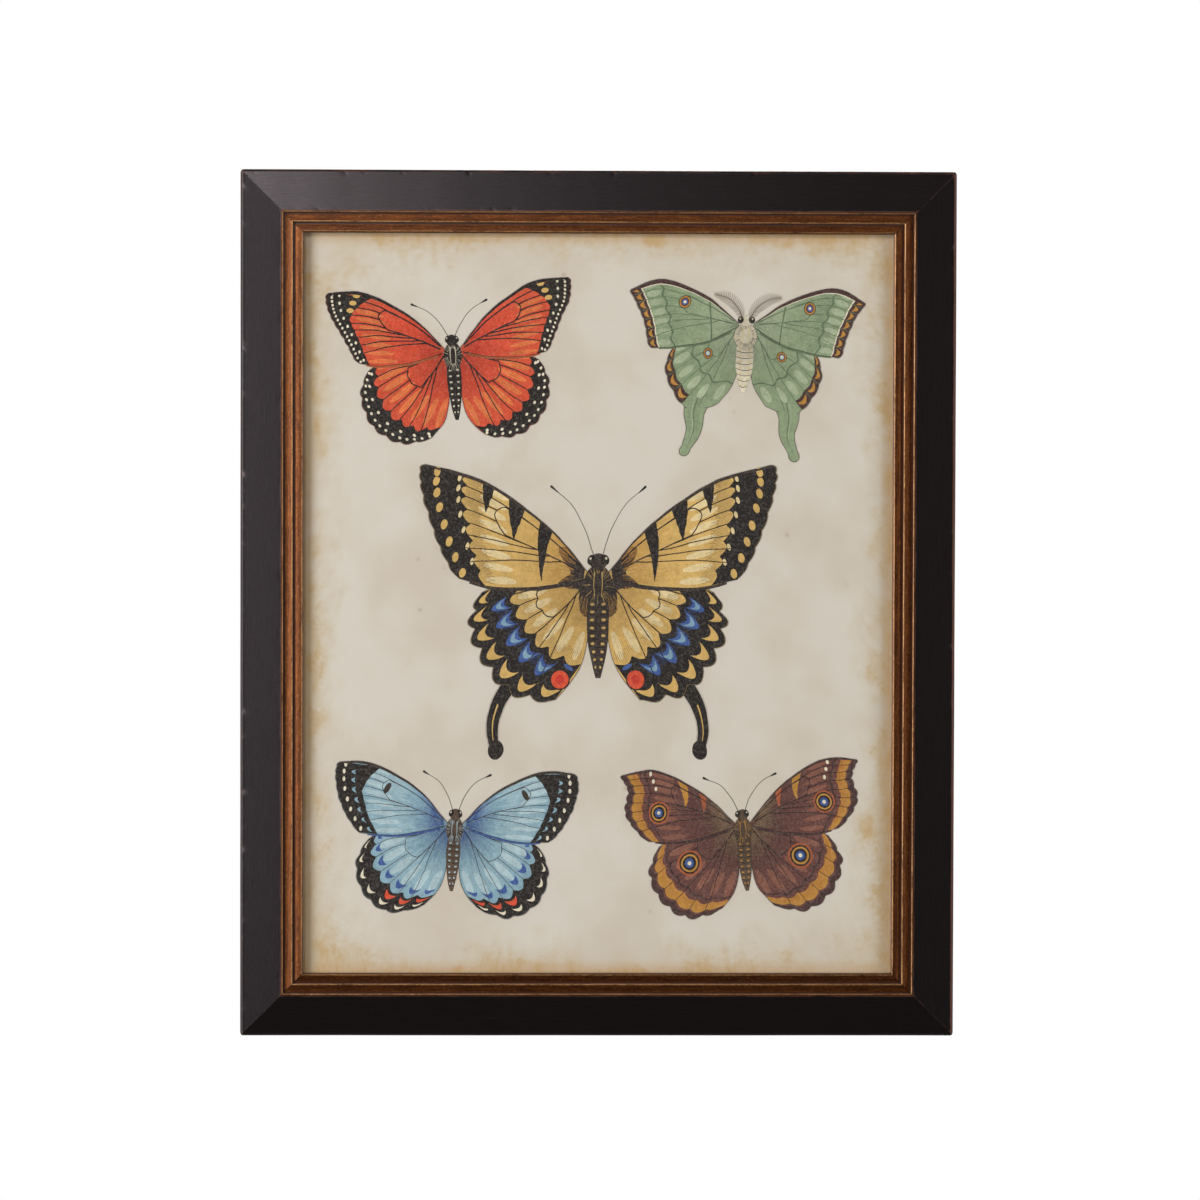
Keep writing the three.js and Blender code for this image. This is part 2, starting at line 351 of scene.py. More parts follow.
def moulding_tree():
    """Sweeps the section along a rail, cuts both ends to 45 degrees, and gives the length its slight waves,
    the edges their dents and the outer corners their round. The attribute "moulding" keeps along, across and
    high in millimetres, and "mitre" keeps how far it is to the joint."""
    tree, given = new_tree("mitred_moulding", {
        "Length": "Float", "Steps": "Int", "Mitre Gap": "Float", "Corner Round": "Float", "Wave": "Float",
        "Dent": "Float", "Handling": "Float", "Seed": "Float", "Finish": "Material"})
    seed = given["Seed"]
    corner_round = given["Corner Round"]
    line = value_of(tree, "GeometryNodeCurvePrimitiveLine", {"Start": (-1, 0, 0), "End": (1, 0, 0)})
    path = value_of(tree, "GeometryNodeResampleCurve", {"Curve": line, "Count": given["Steps"]})
    sweep = value_of(tree, "GeometryNodeCurveToMesh", {
        "Curve": path, "Profile Curve": given["Geometry"], "Fill Caps": True})
    share, swept_y, swept_z = parts_of(value_of(tree, "GeometryNodeInputPosition"))
    across = -swept_y
    high = -swept_z
    half = 0.5 * given["Length"]
    mitred = half - across - given["Mitre Gap"]
    along = share * mitred
    from_middle = calc("ABSOLUTE", along)

    def wave(rate, shift):
        return grain(combined(along, seed, shift), rate, 2.0) - 0.5

    front = rising(high, *FRONT_HIGH)
    outer = falling(across, *WAVY_ACROSS)
    sway = wave(9.0, 0.0) * given["Wave"]
    lift = wave(13.0, 4.0) * given["Wave"]
    dent = rising(grain(combined(along, 0.6 * across, seed), 130.0, 3.0), 0.56, 0.74)
    crest = between(across, (FACE["edge"] - 1) * MM, FACE["edge"] * MM, 0.4 * MM)
    dented = between(across, -1 * MM, 1.2 * MM, 1.2 * MM) + 0.4 * crest
    new_high = high + lift * front - dented * dent * given["Dent"] * front

    past_end = calc("MAXIMUM", from_middle + corner_round - half, 0.0)
    past_side = calc("MAXIMUM", corner_round - across, 0.0)
    reach = calc("SQRT", past_end ** 2 + past_side ** 2)
    cut_back = 1 - corner_round / calc("MAXIMUM", reach, corner_round)
    new_along = along - past_end * cut_back * calc("SIGN", along)
    new_across = across + sway * (front * outer) + past_side * cut_back

    run = combined(along / MM + SEED_STRIDE * seed, across / MM, high / MM)
    mitre = (mitred - from_middle) / MM
    kept = sweep
    for name, value, kind in (("moulding", run, "FLOAT_VECTOR"), ("mitre", mitre, "FLOAT"),
                              ("dent", dent, "FLOAT"), ("handling", given["Handling"], "FLOAT")):
        inputs = {"Geometry": kept, "Name": name, "Value": value}
        kept = value_of(tree, "GeometryNodeStoreNamedAttribute", inputs, data_type=kind, domain="POINT")
    moved = combined(new_along, -new_high, new_across)
    shaped = value_of(tree, "GeometryNodeSetPosition", {"Geometry": kept, "Position": moved})
    end_tree(tree, shaped, given["Finish"])
    return tree


def moulding_finish():
    """Black paint over a red-brown ground, rubbed through at its edges, and bronze steps with rubbed gold
    crests and a dark glaze in their recesses. Bare wood at the back. Distances are in millimetres."""
    material, tree, shader = new_material("black_and_bronze")
    run = attribute(tree, "moulding", "Vector")
    dent, mitre, handling = (attribute(tree, name) for name in ("dent", "mitre", "handling"))
    _, across, high = parts_of(run)

    def railwise(x, y, z, detail, roughness=0.6, distortion=0.0):
        """Grain that is drawn out along the rail."""
        return grain(stretched(run, x, y, z), 1.0, detail, roughness, distortion)

    slow = railwise(0.012, 0.05, 0.05, 3.0)
    streak = railwise(0.035, 1.1, 0.6, 5.0)
    brush = railwise(0.05, 2.6, 1.6, 4.0, 0.65)
    blotch = railwise(0.05, 0.12, 0.1, 4.0)
    patch = railwise(0.05, 0.7, 0.5, 6.0, 0.7)
    fine = railwise(0.5, 1.4, 1.4, 5.0, 0.65)
    fleck = railwise(0.55, 1.0, 1.0, 3.0)
    grained = railwise(0.02, 0.7, 0.7, 5.0, 0.6, 0.6)
    speck = grain(run, 0.9, 2.0, 0.5)
    stain = 2.6 * (streak - 0.5)

    black = mixed(rising(brush, 0.25, 0.75), (0.0024, 0.0013, 0.0010, 1), (0.0050, 0.0033, 0.0029, 1))
    ground = mixed(rising(slow, 0.4, 0.6), (0.052, 0.022, 0.013, 1), (0.050, 0.013, 0.004, 1))
    ground = mixed(0.5 * fine, ground, (0.085, 0.033, 0.017, 1))
    brown = mixed(fine, (0.042, 0.0112, 0.0018, 1), (0.090, 0.0245, 0.0040, 1))
    copper = mixed(fine, (0.100, 0.0275, 0.0042, 1), (0.235, 0.068, 0.0112, 1))
    gold = mixed(fine, (0.31, 0.140, 0.046, 1), (0.78, 0.44, 0.205, 1))
    glaze = mixed(streak, (0.016, 0.0045, 0.0012, 1), (0.055, 0.015, 0.005, 1))
    wood = mixed(grained, (0.30, 0.19, 0.10, 1), (0.55, 0.40, 0.25, 1))

    bronze = mixed(rising(patch, 0.34, 0.66), brown, copper)
    dulled = rising(across, 35.0, 36.0) * (0.4 * rising(slow, 0.40, 0.62))
    bronze = mixed(dulled, bronze, brown)
    bronze = mixed(0.55 * rising(fleck, 0.52, 0.70), bronze, (0.020, 0.0058, 0.0014, 1))
    bronze = mixed(0.36 * falling(fleck, 0.30, 0.46), bronze, (0.36, 0.145, 0.036, 1))
    in_steps = rising(across + stain, 27.3, 28.2)
    colour = mixed(in_steps, black, bronze)

    recesses = between(across, FACE["edge"] + 0.05, OUTER_BAND["foot"] - 0.15, 0.2)
    recesses += between(across, OUTER_BAND["edge"] + 0.05, INNER_BAND["foot"] - 0.25, 0.25)
    recesses += rising(across, INNER_BAND["edge"] + 0.05, RAIL_WIDTH - 0.1)
    recesses = calc("MINIMUM", recesses, 1.0)
    colour = mixed(recesses, colour, glaze)
    crests = 0.8 * between(across, FACE["edge"] - 0.6, FACE["edge"] - 0.05, 0.2)
    crests += between(across, OUTER_BAND["edge"] - 0.65, OUTER_BAND["edge"], 0.2)
    crests += 0.75 * between(across, INNER_BAND["edge"] - 0.6, INNER_BAND["edge"], 0.2)
    rubbed = crests * rising(0.7 * patch + 0.5 * fine, 0.40, 0.69)
    colour = mixed(rubbed, colour, gold)

    arris = rising(high + 0.8 * stain, 10.6, 13.4)
    edge_wear = falling(across, 0.8, 3.8) * arris * handling
    inner_wear = rising(across, 25.2, 28.0) * falling(across, 28.0, 28.6)
    wear = calc("MAXIMUM", edge_wear, inner_wear) * (blotch + 0.35 * dent)
    wear += 0.30 * edge_wear + 0.16 * inner_wear
    wear += 0.25 * rising(speck, 0.74, 0.8)
    wear += falling(mitre, 0.3, 1.5) * handling * blotch
    worn = rising(wear, 0.34, 0.66) * (1 - in_steps)
    bare = falling(across, 0.7, 2.4) * arris
    ground = mixed(0.7 * bare, ground, (0.115, 0.036, 0.010, 1))
    colour = mixed(worn, colour, ground)
    joint = falling(mitre, 0.12, 0.4)
    colour = mixed(0.8 * joint, colour, (0.004, 0.003, 0.003, 1))

    raw_back = falling(high, 0.02, 0.2)
    raw_rebate = rising(across, REBATE_ACROSS - 0.1, REBATE_ACROSS - 0.01)
    raw_rebate *= falling(high, REBATE_DEPTH, REBATE_DEPTH + 0.3)
    overspray = falling(across + stain, 0.5, 4.0)
    raw = calc("MAXIMUM", raw_back, raw_rebate) * (1 - overspray)
    colour = mixed(raw, colour, wood)

    metal = in_steps * (1 - recesses) * (1 - raw) * (0.18 * rubbed + 0.8)
    rough = 0.24 + 0.06 * brush + 0.14 * in_steps + 0.10 * worn + 0.4 * raw + 0.16 * bare
    relief = 0.25 * brush + 0.6 * fine - (0.3 * worn + 0.2 * joint)
    set_inputs(shader, Base_Color=colour, Metallic=metal, Roughness=rough, Coat_Weight=0.09 * metal,
               Coat_Roughness=0.3, Specular_Tint=(1.0, 0.86, 0.90, 1), Normal=bumped(relief, 0.022 * MM))
    return material


def build_moulding():
    """Builds the four rails. The last number of each is how much handling has worn it."""
    finish = moulding_finish()
    tree = moulding_tree()
    sides = (("rail_bottom", OUTER_WIDTH, OUTER_HEIGHT, 0.15), ("rail_left", OUTER_HEIGHT, OUTER_WIDTH, 0.5),
             ("rail_top", OUTER_WIDTH, OUTER_HEIGHT, 0.6), ("rail_right", OUTER_HEIGHT, OUTER_WIDTH, 1.0))
    for number, (node, length, apart, handling) in enumerate(sides):
        mesh = grown_mesh(section_curve(), tree, {
            "Length": length, "Steps": RAIL_STEPS, "Mitre Gap": MITRE_GAP, "Corner Round": CORNER_ROUND * MM,
            "Wave": WAVE_DEPTH, "Dent": DENT_DEPTH, "Handling": handling,
            "Seed": FIRST_SEED + SEED_STEP * number, "Finish": finish})
        turn = Matrix.Rotation(number * math.pi / 2, 4, "Y")
        mesh.transform(Matrix.Translation(CENTRE) @ turn @ Matrix.Translation((0, 0, -apart / 2)))
        smooth_by_angle(mesh, SMOOTH_DEGREES)
        add_piece(f"moulding_{node}", mesh, None, "moulding", node)


# The printed sheet

# Inks as they are seen on the aged paper, in bytes
INKS = {
    "black": (27, 20, 20), "soft_black": (54, 42, 38), "brown": (92, 70, 55), "fur": (139, 111, 82),
    "buff": (205, 166, 96), "pale_buff": (221, 197, 148), "ochre": (183, 129, 52), "cream": (224, 211, 186),
    "vermilion": (209, 76, 46), "scarlet": (196, 52, 36), "orange": (222, 116, 62), "rust": (164, 84, 48),
    "maroon": (101, 60, 54), "dark_maroon": (68, 42, 41), "chestnut": (131, 82, 66), "halo": (186, 173, 161),
    "sky": (134, 166, 180), "pale_sky": (171, 191, 196), "cobalt": (58, 86, 146),
    "sage": (139, 153, 119), "pale_sage": (170, 179, 148), "dark_sage": (95, 112, 84),
}
# How much darker an ink is at an insect's middle, and how far that reaches, in spans
ROOT_SHADE = 0.34
ROOT_SHADE_REACH = 0.26
# How far the tone of a patch differs from its ink
PATCH_TONE = 0.05
# How far the hand strays in millimetres, and how often along a millimetre
WOBBLE = 0.45
WOBBLE_RATE = 0.11
# Widths on the sheet in millimetres
PEN = 0.34
WING_LINE = 0.35
TAIL_LINE = 0.4
HALO = 0.9
# Shares of a wing: where its fill and its veins end, how its cell bulges, and how its tips are rounded
MARGIN = 0.999
VEIN_END = 0.985
CELL_BULGE = 0.05
TIP_ROUND = 0.03
TIP_REACH = 0.09
# An insect's body, in spans
THORAX_MIDDLE = 0.06
ABDOMEN_START = -0.02
THORAX_HAIRS = 54
FEELER_BARBS = 22
# The halves of an insect that a shape is laid on
BOTH_HALVES = (-1, 1)
ONCE = (1,)
DRAWING_SEED = 11
# How the cut of the sheet's face keeps the triangles inside its outlines, and the least gap between points
CUT_INSIDE = 1
CUT_CLOSEST = 1e-4


def curve_through(points):
    """A smooth curve through points, as a function of 0 to 1."""
    points = [Vector(point) for point in points]
    ends = [2 * points[0] - points[1]] + points + [2 * points[-1] - points[-2]]
    spans = len(points) - 1

    def at(place):
        span = min(int(place * spans), spans - 1)
        f = place * spans - span
        a, b, c, d = ends[span:span + 4]
        return 0.5 * (2 * b + (c - a) * f + (2 * a - 5 * b + 4 * c - d) * f ** 2
                      + (3 * b - a - 3 * c + d) * f ** 3)
    return at


def steps(start, end, count):
    """Evenly spaced numbers, with both ends among them."""
    return [start + (end - start) * i / (count - 1) for i in range(count)]


class Wing:
    """A wing drawn as a fan from its root: `out` runs from the root to the outer margin, and `down` from the
    leading edge to the trailing edge. The leading edge ends at the tip and the trailing edge at the heel, and
    lead, margin and trail are the points between those ends."""

    def __init__(self, root, tip, heel, lead, margin, trail, scallops, scallop_depth):
        self.root, self.tip, self.heel = (Vector(point) for point in (root, tip, heel))
        self.lead = curve_through([root, *lead, tip])
        self.margin = curve_through([tip, *margin, heel])
        self.trail = curve_through([root, *trail, heel])
        self.scallops = scallops
        self.scallop_depth = scallop_depth

    def at(self, out, down):
        edge = self.margin(down)
        lobe = abs(math.sin(math.pi * self.scallops * down)) - 0.5
        fade = min(1.0, 6 * down, 6 * (1 - down))
        edge = edge + (edge - self.root).normalized() * self.scallop_depth * lobe * fade
        near_tip = max(0.0, 1 - min(down, 1 - down) / TIP_REACH) ** 2
        edge = edge - (edge - self.root) * TIP_ROUND * near_tip * out ** 6
        fan = self.lead(out).lerp(self.trail(out), down)
        return fan + out ** 1.4 * (edge - self.tip.lerp(self.heel, down))

    def outline(self, grow=0.0):
        points = [self.at(out, 0.0) for out in steps(0.02, 1.0, 24)]
        points += [self.at(1.0, down) for down in steps(0.0, 1.0, 90)[1:]]
        points += [self.at(out, 1.0) for out in steps(1.0, 0.02, 20)[1:]]
        return grown_outline(points, grow) if grow else points

    def band(self, inner, outer, start=0.0, end=1.0, count=48):
        """The part of the wing between two distances from its root, each a number or a function of down."""
        def reach(side, down):
            return side(down) if callable(side) else side
        downs = steps(start, end, count)
        points = [self.at(reach(inner, down), down) for down in downs]
        return points + [self.at(reach(outer, down), down) for down in reversed(downs)]

    def border(self, inner, count=90):
        """The part of the wing from a line to its margin."""
        return self.band(inner, MARGIN, 0.0, 1.0, count)

    def scalloped(self, inner, depth, lobes, count=90):
        """The border outside a scalloped line."""
        return self.border(lambda d: inner + depth * abs(math.sin(lobes * math.pi * d)), count)

    def wavy(self, out, depth, rate, wide=0.02):
        """A narrow wavy band across the wing."""
        return self.band(lambda d: out + depth * math.sin(rate * d),
                         lambda d: out + wide + depth * math.sin(rate * d))

    def strip(self, start, end, inner=0.05, outer=MARGIN, count=40):
        """A strip along the wing between two rays."""
        outs = steps(inner, outer, count)
        return [self.at(out, start) for out in outs] + [self.at(out, end) for out in reversed(outs)]

    def wedge(self, out, width, reach):
        """A bar from the leading edge that narrows to a point."""
        def half(down):
            return width / 2 * (1 - (down / reach) ** 1.6)
        return self.band(lambda d: out - half(d), lambda d: out + half(d), 0.01, 0.97 * reach, 20)

    def ray(self, down, start, end, count):
        """Points along the wing, outwards from its root."""
        return [self.at(out, down) for out in steps(start, end, count)]

    def lattice(self, count=8):
        """Loose points over the wing, for its soft shade."""
        return [self.at(out, down) for out in steps(0.1, 0.92, count) for down in steps(0.06, 0.94, count)]


def area_of(points):
    """The area inside an outline, below 0 where it runs clockwise."""
    return sum(a[0] * b[1] - b[0] * a[1] for a, b in zip(points, points[1:] + points[:1])) / 2


def grown_outline(points, grow):
    """A closed outline moved outwards."""
    if area_of(points) < 0:
        points = points[::-1]
    moved = []
    for before, point, after in zip(points[-1:] + points[:-1], points, points[1:] + points[:1]):
        along = (Vector(after) - Vector(before)).normalized()
        moved.append(Vector(point) + grow * Vector((along.y, -along.x)))
    return moved


def stroke(points, start_width, end_width):
    """A pen stroke along points, as an outline."""
    points = [Vector(point) for point in points]
    left = []
    right = []
    for number, point in enumerate(points):
        before = points[max(number - 1, 0)]
        after = points[min(number + 1, len(points) - 1)]
        along = (after - before).normalized()
        half = (start_width + (end_width - start_width) * number / (len(points) - 1)) / 2
        side = half * Vector((-along.y, along.x))
        left.append(point + side)
        right.append(point - side)
    return left + right[::-1]


def oval(centre, wide, tall, turn, count):
    """A turned oval with this many points."""
    points = []
    for number in range(count):
        angle = 2 * math.pi * number / count
        x, y = wide * math.cos(angle), tall * math.sin(angle)
        points.append(Vector((centre[0] + x * math.cos(turn) - y * math.sin(turn),
                              centre[1] + x * math.sin(turn) + y * math.cos(turn))))
    return points


class Insect:
    """One drawn insect. Its shapes are in spans, where 1 is half the width across its wings, and are laid on
    the sheet in millimetres from the picture's centre."""

    def __init__(self, sheet, centre, span, turn):
        self.sheet = sheet
        self.centre = Vector(centre)
        self.span = span
        self.turn = Matrix.Rotation(math.radians(turn), 2)
        self.pen = PEN / span

    def place(self, point, side):
        return self.centre + self.turn @ (Vector((side * point[0], point[1])) * self.span)

    def lay(self, points, ink, halves=BOTH_HALVES):
        """Paints an outline."""
        for side in halves:
            self.sheet.lay([self.place(point, side) for point in points], ink, self)

    def halos(self, *wings):
        """A pale wash round the wings."""
        for wing in wings:
            self.lay(wing.outline(HALO / self.span), "halo")

    def wing(self, wing, ink, edge="black"):
        """A wing's fill inside its pen line."""
        self.lay(wing.outline(WING_LINE / self.span), edge)
        self.lay(wing.outline(), ink)
        for side in BOTH_HALVES:
            self.sheet.loose += [self.place(point, side) for point in wing.lattice()]

    def under_shade(self, wing, ink):
        """A shade along a fore wing's trailing edge, on the hind wing below it."""
        self.lay(stroke(wing.ray(1.0, 0.1, 0.9, 12), 0.05, 0.03), ink)

    def hatch(self, wing, ink, count, start, end, spread, width=0.24, first=0.03, last=0.97):
        """Fine pen strokes along the wing, of uneven length."""
        for down in steps(first, last, count):
            low = start + spread * self.sheet.chance.uniform(-0.5, 0.5)
            high = end + spread * self.sheet.chance.uniform(-0.5, 0.5)
            points = wing.ray(down, max(low, 0.05), min(high, 0.99), 4)
            self.lay(stroke(points, width / self.span, 0.4 * width / self.span), ink)

    def veins(self, wing, ink, count, end, width, cell):
        """A closed cell near the root, and veins that leave its sides and its rounded end for the margin."""
        wide = width / self.span
        top, bottom = cell

        def cell_end(down):
            return end + CELL_BULGE * math.sin(math.pi * (down - top) / (bottom - top))
        for number in range(1, count):
            down = number / count
            source = min(max(down, top), bottom)
            begin = cell_end(down)
            if down < top:
                begin = end * (0.35 + 0.5 * down / top)
            elif down > bottom:
                begin = end * (0.25 + 0.6 * (1 - down) / (1 - bottom))
            points = []
            for out in steps(begin, VEIN_END, 11):
                f = (out - begin) / (VEIN_END - begin)
                points.append(wing.at(out, source + (down - source) * f ** 0.6))
            self.lay(stroke(points, wide, 0.7 * wide), ink)
        for down in cell:
            self.lay(stroke(wing.ray(down, 0.06, end, 12), 1.2 * wide, wide), ink)
        self.lay(stroke([wing.at(cell_end(down), down) for down in steps(top, bottom, 9)], wide, wide), ink)

    def spots(self, wing, ink, count, out, wide, tall, first=0, last=None):
        """A spot in each space between the veins."""
        for number in range(first, count if last is None else last):
            down = (number + 0.5) / count
            reach = out(down) if callable(out) else out
            centre = wing.at(reach, down)
            outward = wing.at(min(reach + 0.03, 1.0), down) - centre
            self.lay(oval(centre, wide, tall, math.atan2(outward.y, outward.x), 14), ink)

    def lunules(self, wing, ink, count, inner, outer, hollow, gap, first=0, last=None):
        """A crescent in each space between the veins, arched towards the margin."""
        for number in range(first, count if last is None else last):
            start, end = (number + gap) / count, (number + 1 - gap) / count

            def bow(down):
                return max(0.0, math.sin(math.pi * (down - start) / (end - start))) ** 0.6
            self.lay(wing.band(lambda d: inner + hollow * bow(d), lambda d: inner + (outer - inner) * bow(d),
                               start, end, 14), ink)

    def eye(self, wing, out, down, radius, rings):
        """An eyespot of rings, each given as a share of the radius and an ink."""
        centre = wing.at(out, down)
        for share, ink in rings:
            self.lay(oval(centre, radius * share, radius * share * 1.08, 0.3, 26), ink)

    def lined(self, points, ink, line):
        """A fill inside a pen line, across the insect's middle."""
        self.lay(grown_outline(points, line * self.pen), "black", ONCE)
        self.lay(points, ink, ONCE)

    def body(self, length, width, ink, light, ringed):
        """Abdomen with rings, thorax with hairs, head and eyes, drawn down the middle."""
        chance = self.sheet.chance

        def level(f):
            return ABDOMEN_START - (length + ABDOMEN_START) * f

        def half_width(f):
            return width * (0.62 + 0.38 * math.sin(math.pi * (0.25 + 0.6 * f))) * (1 - 0.75 * f ** 3)
        abdomen = [(half_width(f), level(f)) for f in steps(0.0, 1.0, 16)]
        self.lined(abdomen + [(-x, y) for x, y in reversed(abdomen)], ink, 0.4)
        for ring in range(1, ringed):
            f = ring / ringed
            x = half_width(f) * 0.97
            y = level(f)
            curve = [(-x, y + 0.006), (-0.5 * x, y - 0.004), (0, y - 0.008),
                     (0.5 * x, y - 0.004), (x, y + 0.006)]
            self.lay(stroke(curve, 1.2 * self.pen, 1.2 * self.pen), "black", ONCE)
            self.lay(oval((0.55 * x, y + 0.014), 0.22 * x, 0.008, 0, 10), light)
        self.lined(oval((0, THORAX_MIDDLE), width * 1.25, 0.105, 0, 30), ink, 0.5)
        for number in range(THORAX_HAIRS):
            angle = 2 * math.pi * number / THORAX_HAIRS + chance.uniform(-0.05, 0.05)
            inner = Vector((width * 0.75 * math.cos(angle), THORAX_MIDDLE + 0.06 * math.sin(angle)))
            outer = Vector((width * 1.4 * math.cos(angle), THORAX_MIDDLE + 0.118 * math.sin(angle)))
            hair = stroke([inner, inner.lerp(outer, 0.5), outer], 0.8 * self.pen, 0.3 * self.pen)
            self.lay(hair, chance.choice(("black", light)), ONCE)
        stripe = [(0.32 * width, 0.13), (0.42 * width, 0.06), (0.3 * width, -0.01)]
        self.lay(stroke(stripe, 2.2 * self.pen, self.pen), light)
        self.lined(oval((0, 0.185), width * 0.78, 0.045, 0, 22), ink, 0.5)
        self.lay(oval((width * 0.62, 0.195), width * 0.34, 0.03, 0.3, 14), "black")
        self.lay(oval((width * 0.68, 0.203), width * 0.1, 0.008, 0.3, 8), "cream")

    def clubbed_feelers(self, points):
        """Thin feelers that end in clubs."""
        line = curve_through(points)
        self.lay(stroke([line(f) for f in steps(0, 1, 18)], 1.5 * self.pen, 1.1 * self.pen), "black")
        club = [line(f) for f in steps(0.88, 1.0, 6)]
        self.lay(stroke(club, 1.6 * self.pen, 5.0 * self.pen), "black")
        self.lay(oval(line(1.0), 2.5 * self.pen, 2.5 * self.pen, 0, 12), "black")

    def feathered_feelers(self, points, ink):
        """Broad feelers with barbs on both sides of a stem."""
        line = curve_through(points)
        for number in range(1, FEELER_BARBS):
            f = number / FEELER_BARBS
            here = line(f)
            along = (line(min(f + 0.02, 1.0)) - line(f - 0.02)).normalized()
            across = Vector((-along.y, along.x))
            reach = 0.055 * math.sin(math.pi * (0.12 + 0.88 * f)) ** 0.7
            for way in (-1, 1):
                tip = here + across * way * reach + along * 0.028
                self.lay(stroke([here, here.lerp(tip, 0.5), tip], 1.5 * self.pen, 0.8 * self.pen), ink)
        self.lay(stroke([line(f) for f in steps(0, 1, 16)], 1.8 * self.pen, self.pen), ink)


def hand_drawn(point):
    """A point moved a little, as an unsteady hand would."""
    drift = noise.noise_vector((point[0] * WOBBLE_RATE, point[1] * WOBBLE_RATE, 0.5))
    return Vector((point[0] + WOBBLE * drift.x, point[1] + WOBBLE * drift.y))


class Sheet:
    """The drawing: patches of ink in the order that they are laid, and loose points that carry soft shade."""

    def __init__(self):
        self.patches = []
        self.loose = []
        self.chance = random.Random(DRAWING_SEED)
        # Without a seed, the noise starts from the clock
        noise.seed_set(DRAWING_SEED)

    def lay(self, points, ink, insect):
        points = [hand_drawn(point) for point in points]
        if area_of(points) < 0:
            points.reverse()
        tone = 1 + PATCH_TONE * self.chance.uniform(-1, 1)
        self.patches.append((points, ink, insect, tone))


def draw_swallowtail(insect):
    """Buff wings with black bands, blue clouds and red eyes at the hind corners, and one pair of tails."""
    fore = Wing((0.04, 0.10), (0.985, 0.74), (0.79, 0.09), [(0.27, 0.37), (0.62, 0.62)],
                [(0.975, 0.58), (0.90, 0.33)], [(0.30, 0.05), (0.56, 0.045)], 8, 0.012)
    hind = Wing((0.04, 0.10), (0.66, 0.01), (0.24, -0.60), [(0.26, 0.11), (0.48, 0.09)],
                [(0.70, -0.17), (0.63, -0.36), (0.48, -0.53)], [(0.05, -0.18), (0.10, -0.40)], 7, 0.045)
    tail_line = curve_through([(0.47, -0.47), (0.55, -0.60), (0.585, -0.74), (0.57, -0.86)])
    blade = stroke([tail_line(f) for f in steps(0, 1, 14)], 0.085, 0.05)
    insect.halos(hind, fore)
    insect.lay(grown_outline(blade, HALO / insect.span), "halo")
    insect.lay(blade, "black")
    insect.lay(oval((0.565, -0.86), 0.042, 0.055, 0.2, 20), "black")
    insect.wing(hind, "buff")
    insect.lay(hind.band(0.05, lambda d: 0.22 + 0.06 * math.sin(9 * d)), "soft_black")
    insect.spots(hind, "pale_buff", 7, 0.50, 0.085, 0.022)
    insect.hatch(hind, "ochre", 46, 0.2, 0.5, 0.14)
    insect.lay(hind.scalloped(0.64, 0.03, 7), "black")
    insect.lunules(hind, "cobalt", 7, 0.70, 0.815, 0.02, 0.08, 1, 6)
    insect.lunules(hind, "sky", 7, 0.725, 0.78, 0.02, 0.18, 1, 6)
    insect.hatch(hind, "cobalt", 54, 0.72, 0.79, 0.05, 0.3, 0.17, 0.83)
    insect.lunules(hind, "buff", 7, 0.885, 0.955, 0.012, 0.10)
    insect.hatch(hind, "soft_black", 60, 0.55, 0.66, 0.05)
    insect.veins(hind, "black", 7, 0.46, 0.8, (0.2, 0.55))
    insect.eye(hind, 0.80, 0.93, 0.055, ((1.0, "black"), (0.86, "vermilion"), (0.45, "scarlet")))
    insect.spots(hind, "cobalt", 7, 0.69, 0.012, 0.03, 6, 7)
    insect.lay(stroke([tail_line(f) for f in steps(0.35, 0.85, 8)], 0.008, 0.004), "buff")
    insect.under_shade(fore, "soft_black")
    insect.wing(fore, "buff")
    insect.lay(fore.band(0.05, lambda d: 0.20 + 0.05 * math.sin(7 * d)), "soft_black")
    insect.spots(fore, "pale_buff", 8, 0.62, 0.085, 0.020)
    insect.hatch(fore, "ochre", 60, 0.18, 0.42, 0.12)
    insect.lay(fore.scalloped(0.76, 0.025, 8, 100), "black")
    insect.spots(fore, "buff", 8, 0.915, 0.018, 0.028)
    insect.spots(fore, "pale_buff", 8, 0.80, 0.010, 0.020, 0, 7)
    insect.lay(fore.wedge(0.35, 0.075, 0.95), "black")
    insect.lay(fore.wedge(0.51, 0.080, 0.50), "black")
    insect.lay(fore.wedge(0.655, 0.060, 0.34), "black")
    insect.lay(fore.strip(0.0, 0.035), "soft_black")
    insect.hatch(fore, "soft_black", 80, 0.68, 0.78, 0.05)
    insect.veins(fore, "black", 8, 0.56, 0.8, (0.16, 0.47))
    insect.body(0.46, 0.062, "soft_black", "buff", 10)
    insect.clubbed_feelers([(0.022, 0.21), (0.07, 0.36), (0.15, 0.50), (0.26, 0.60)])


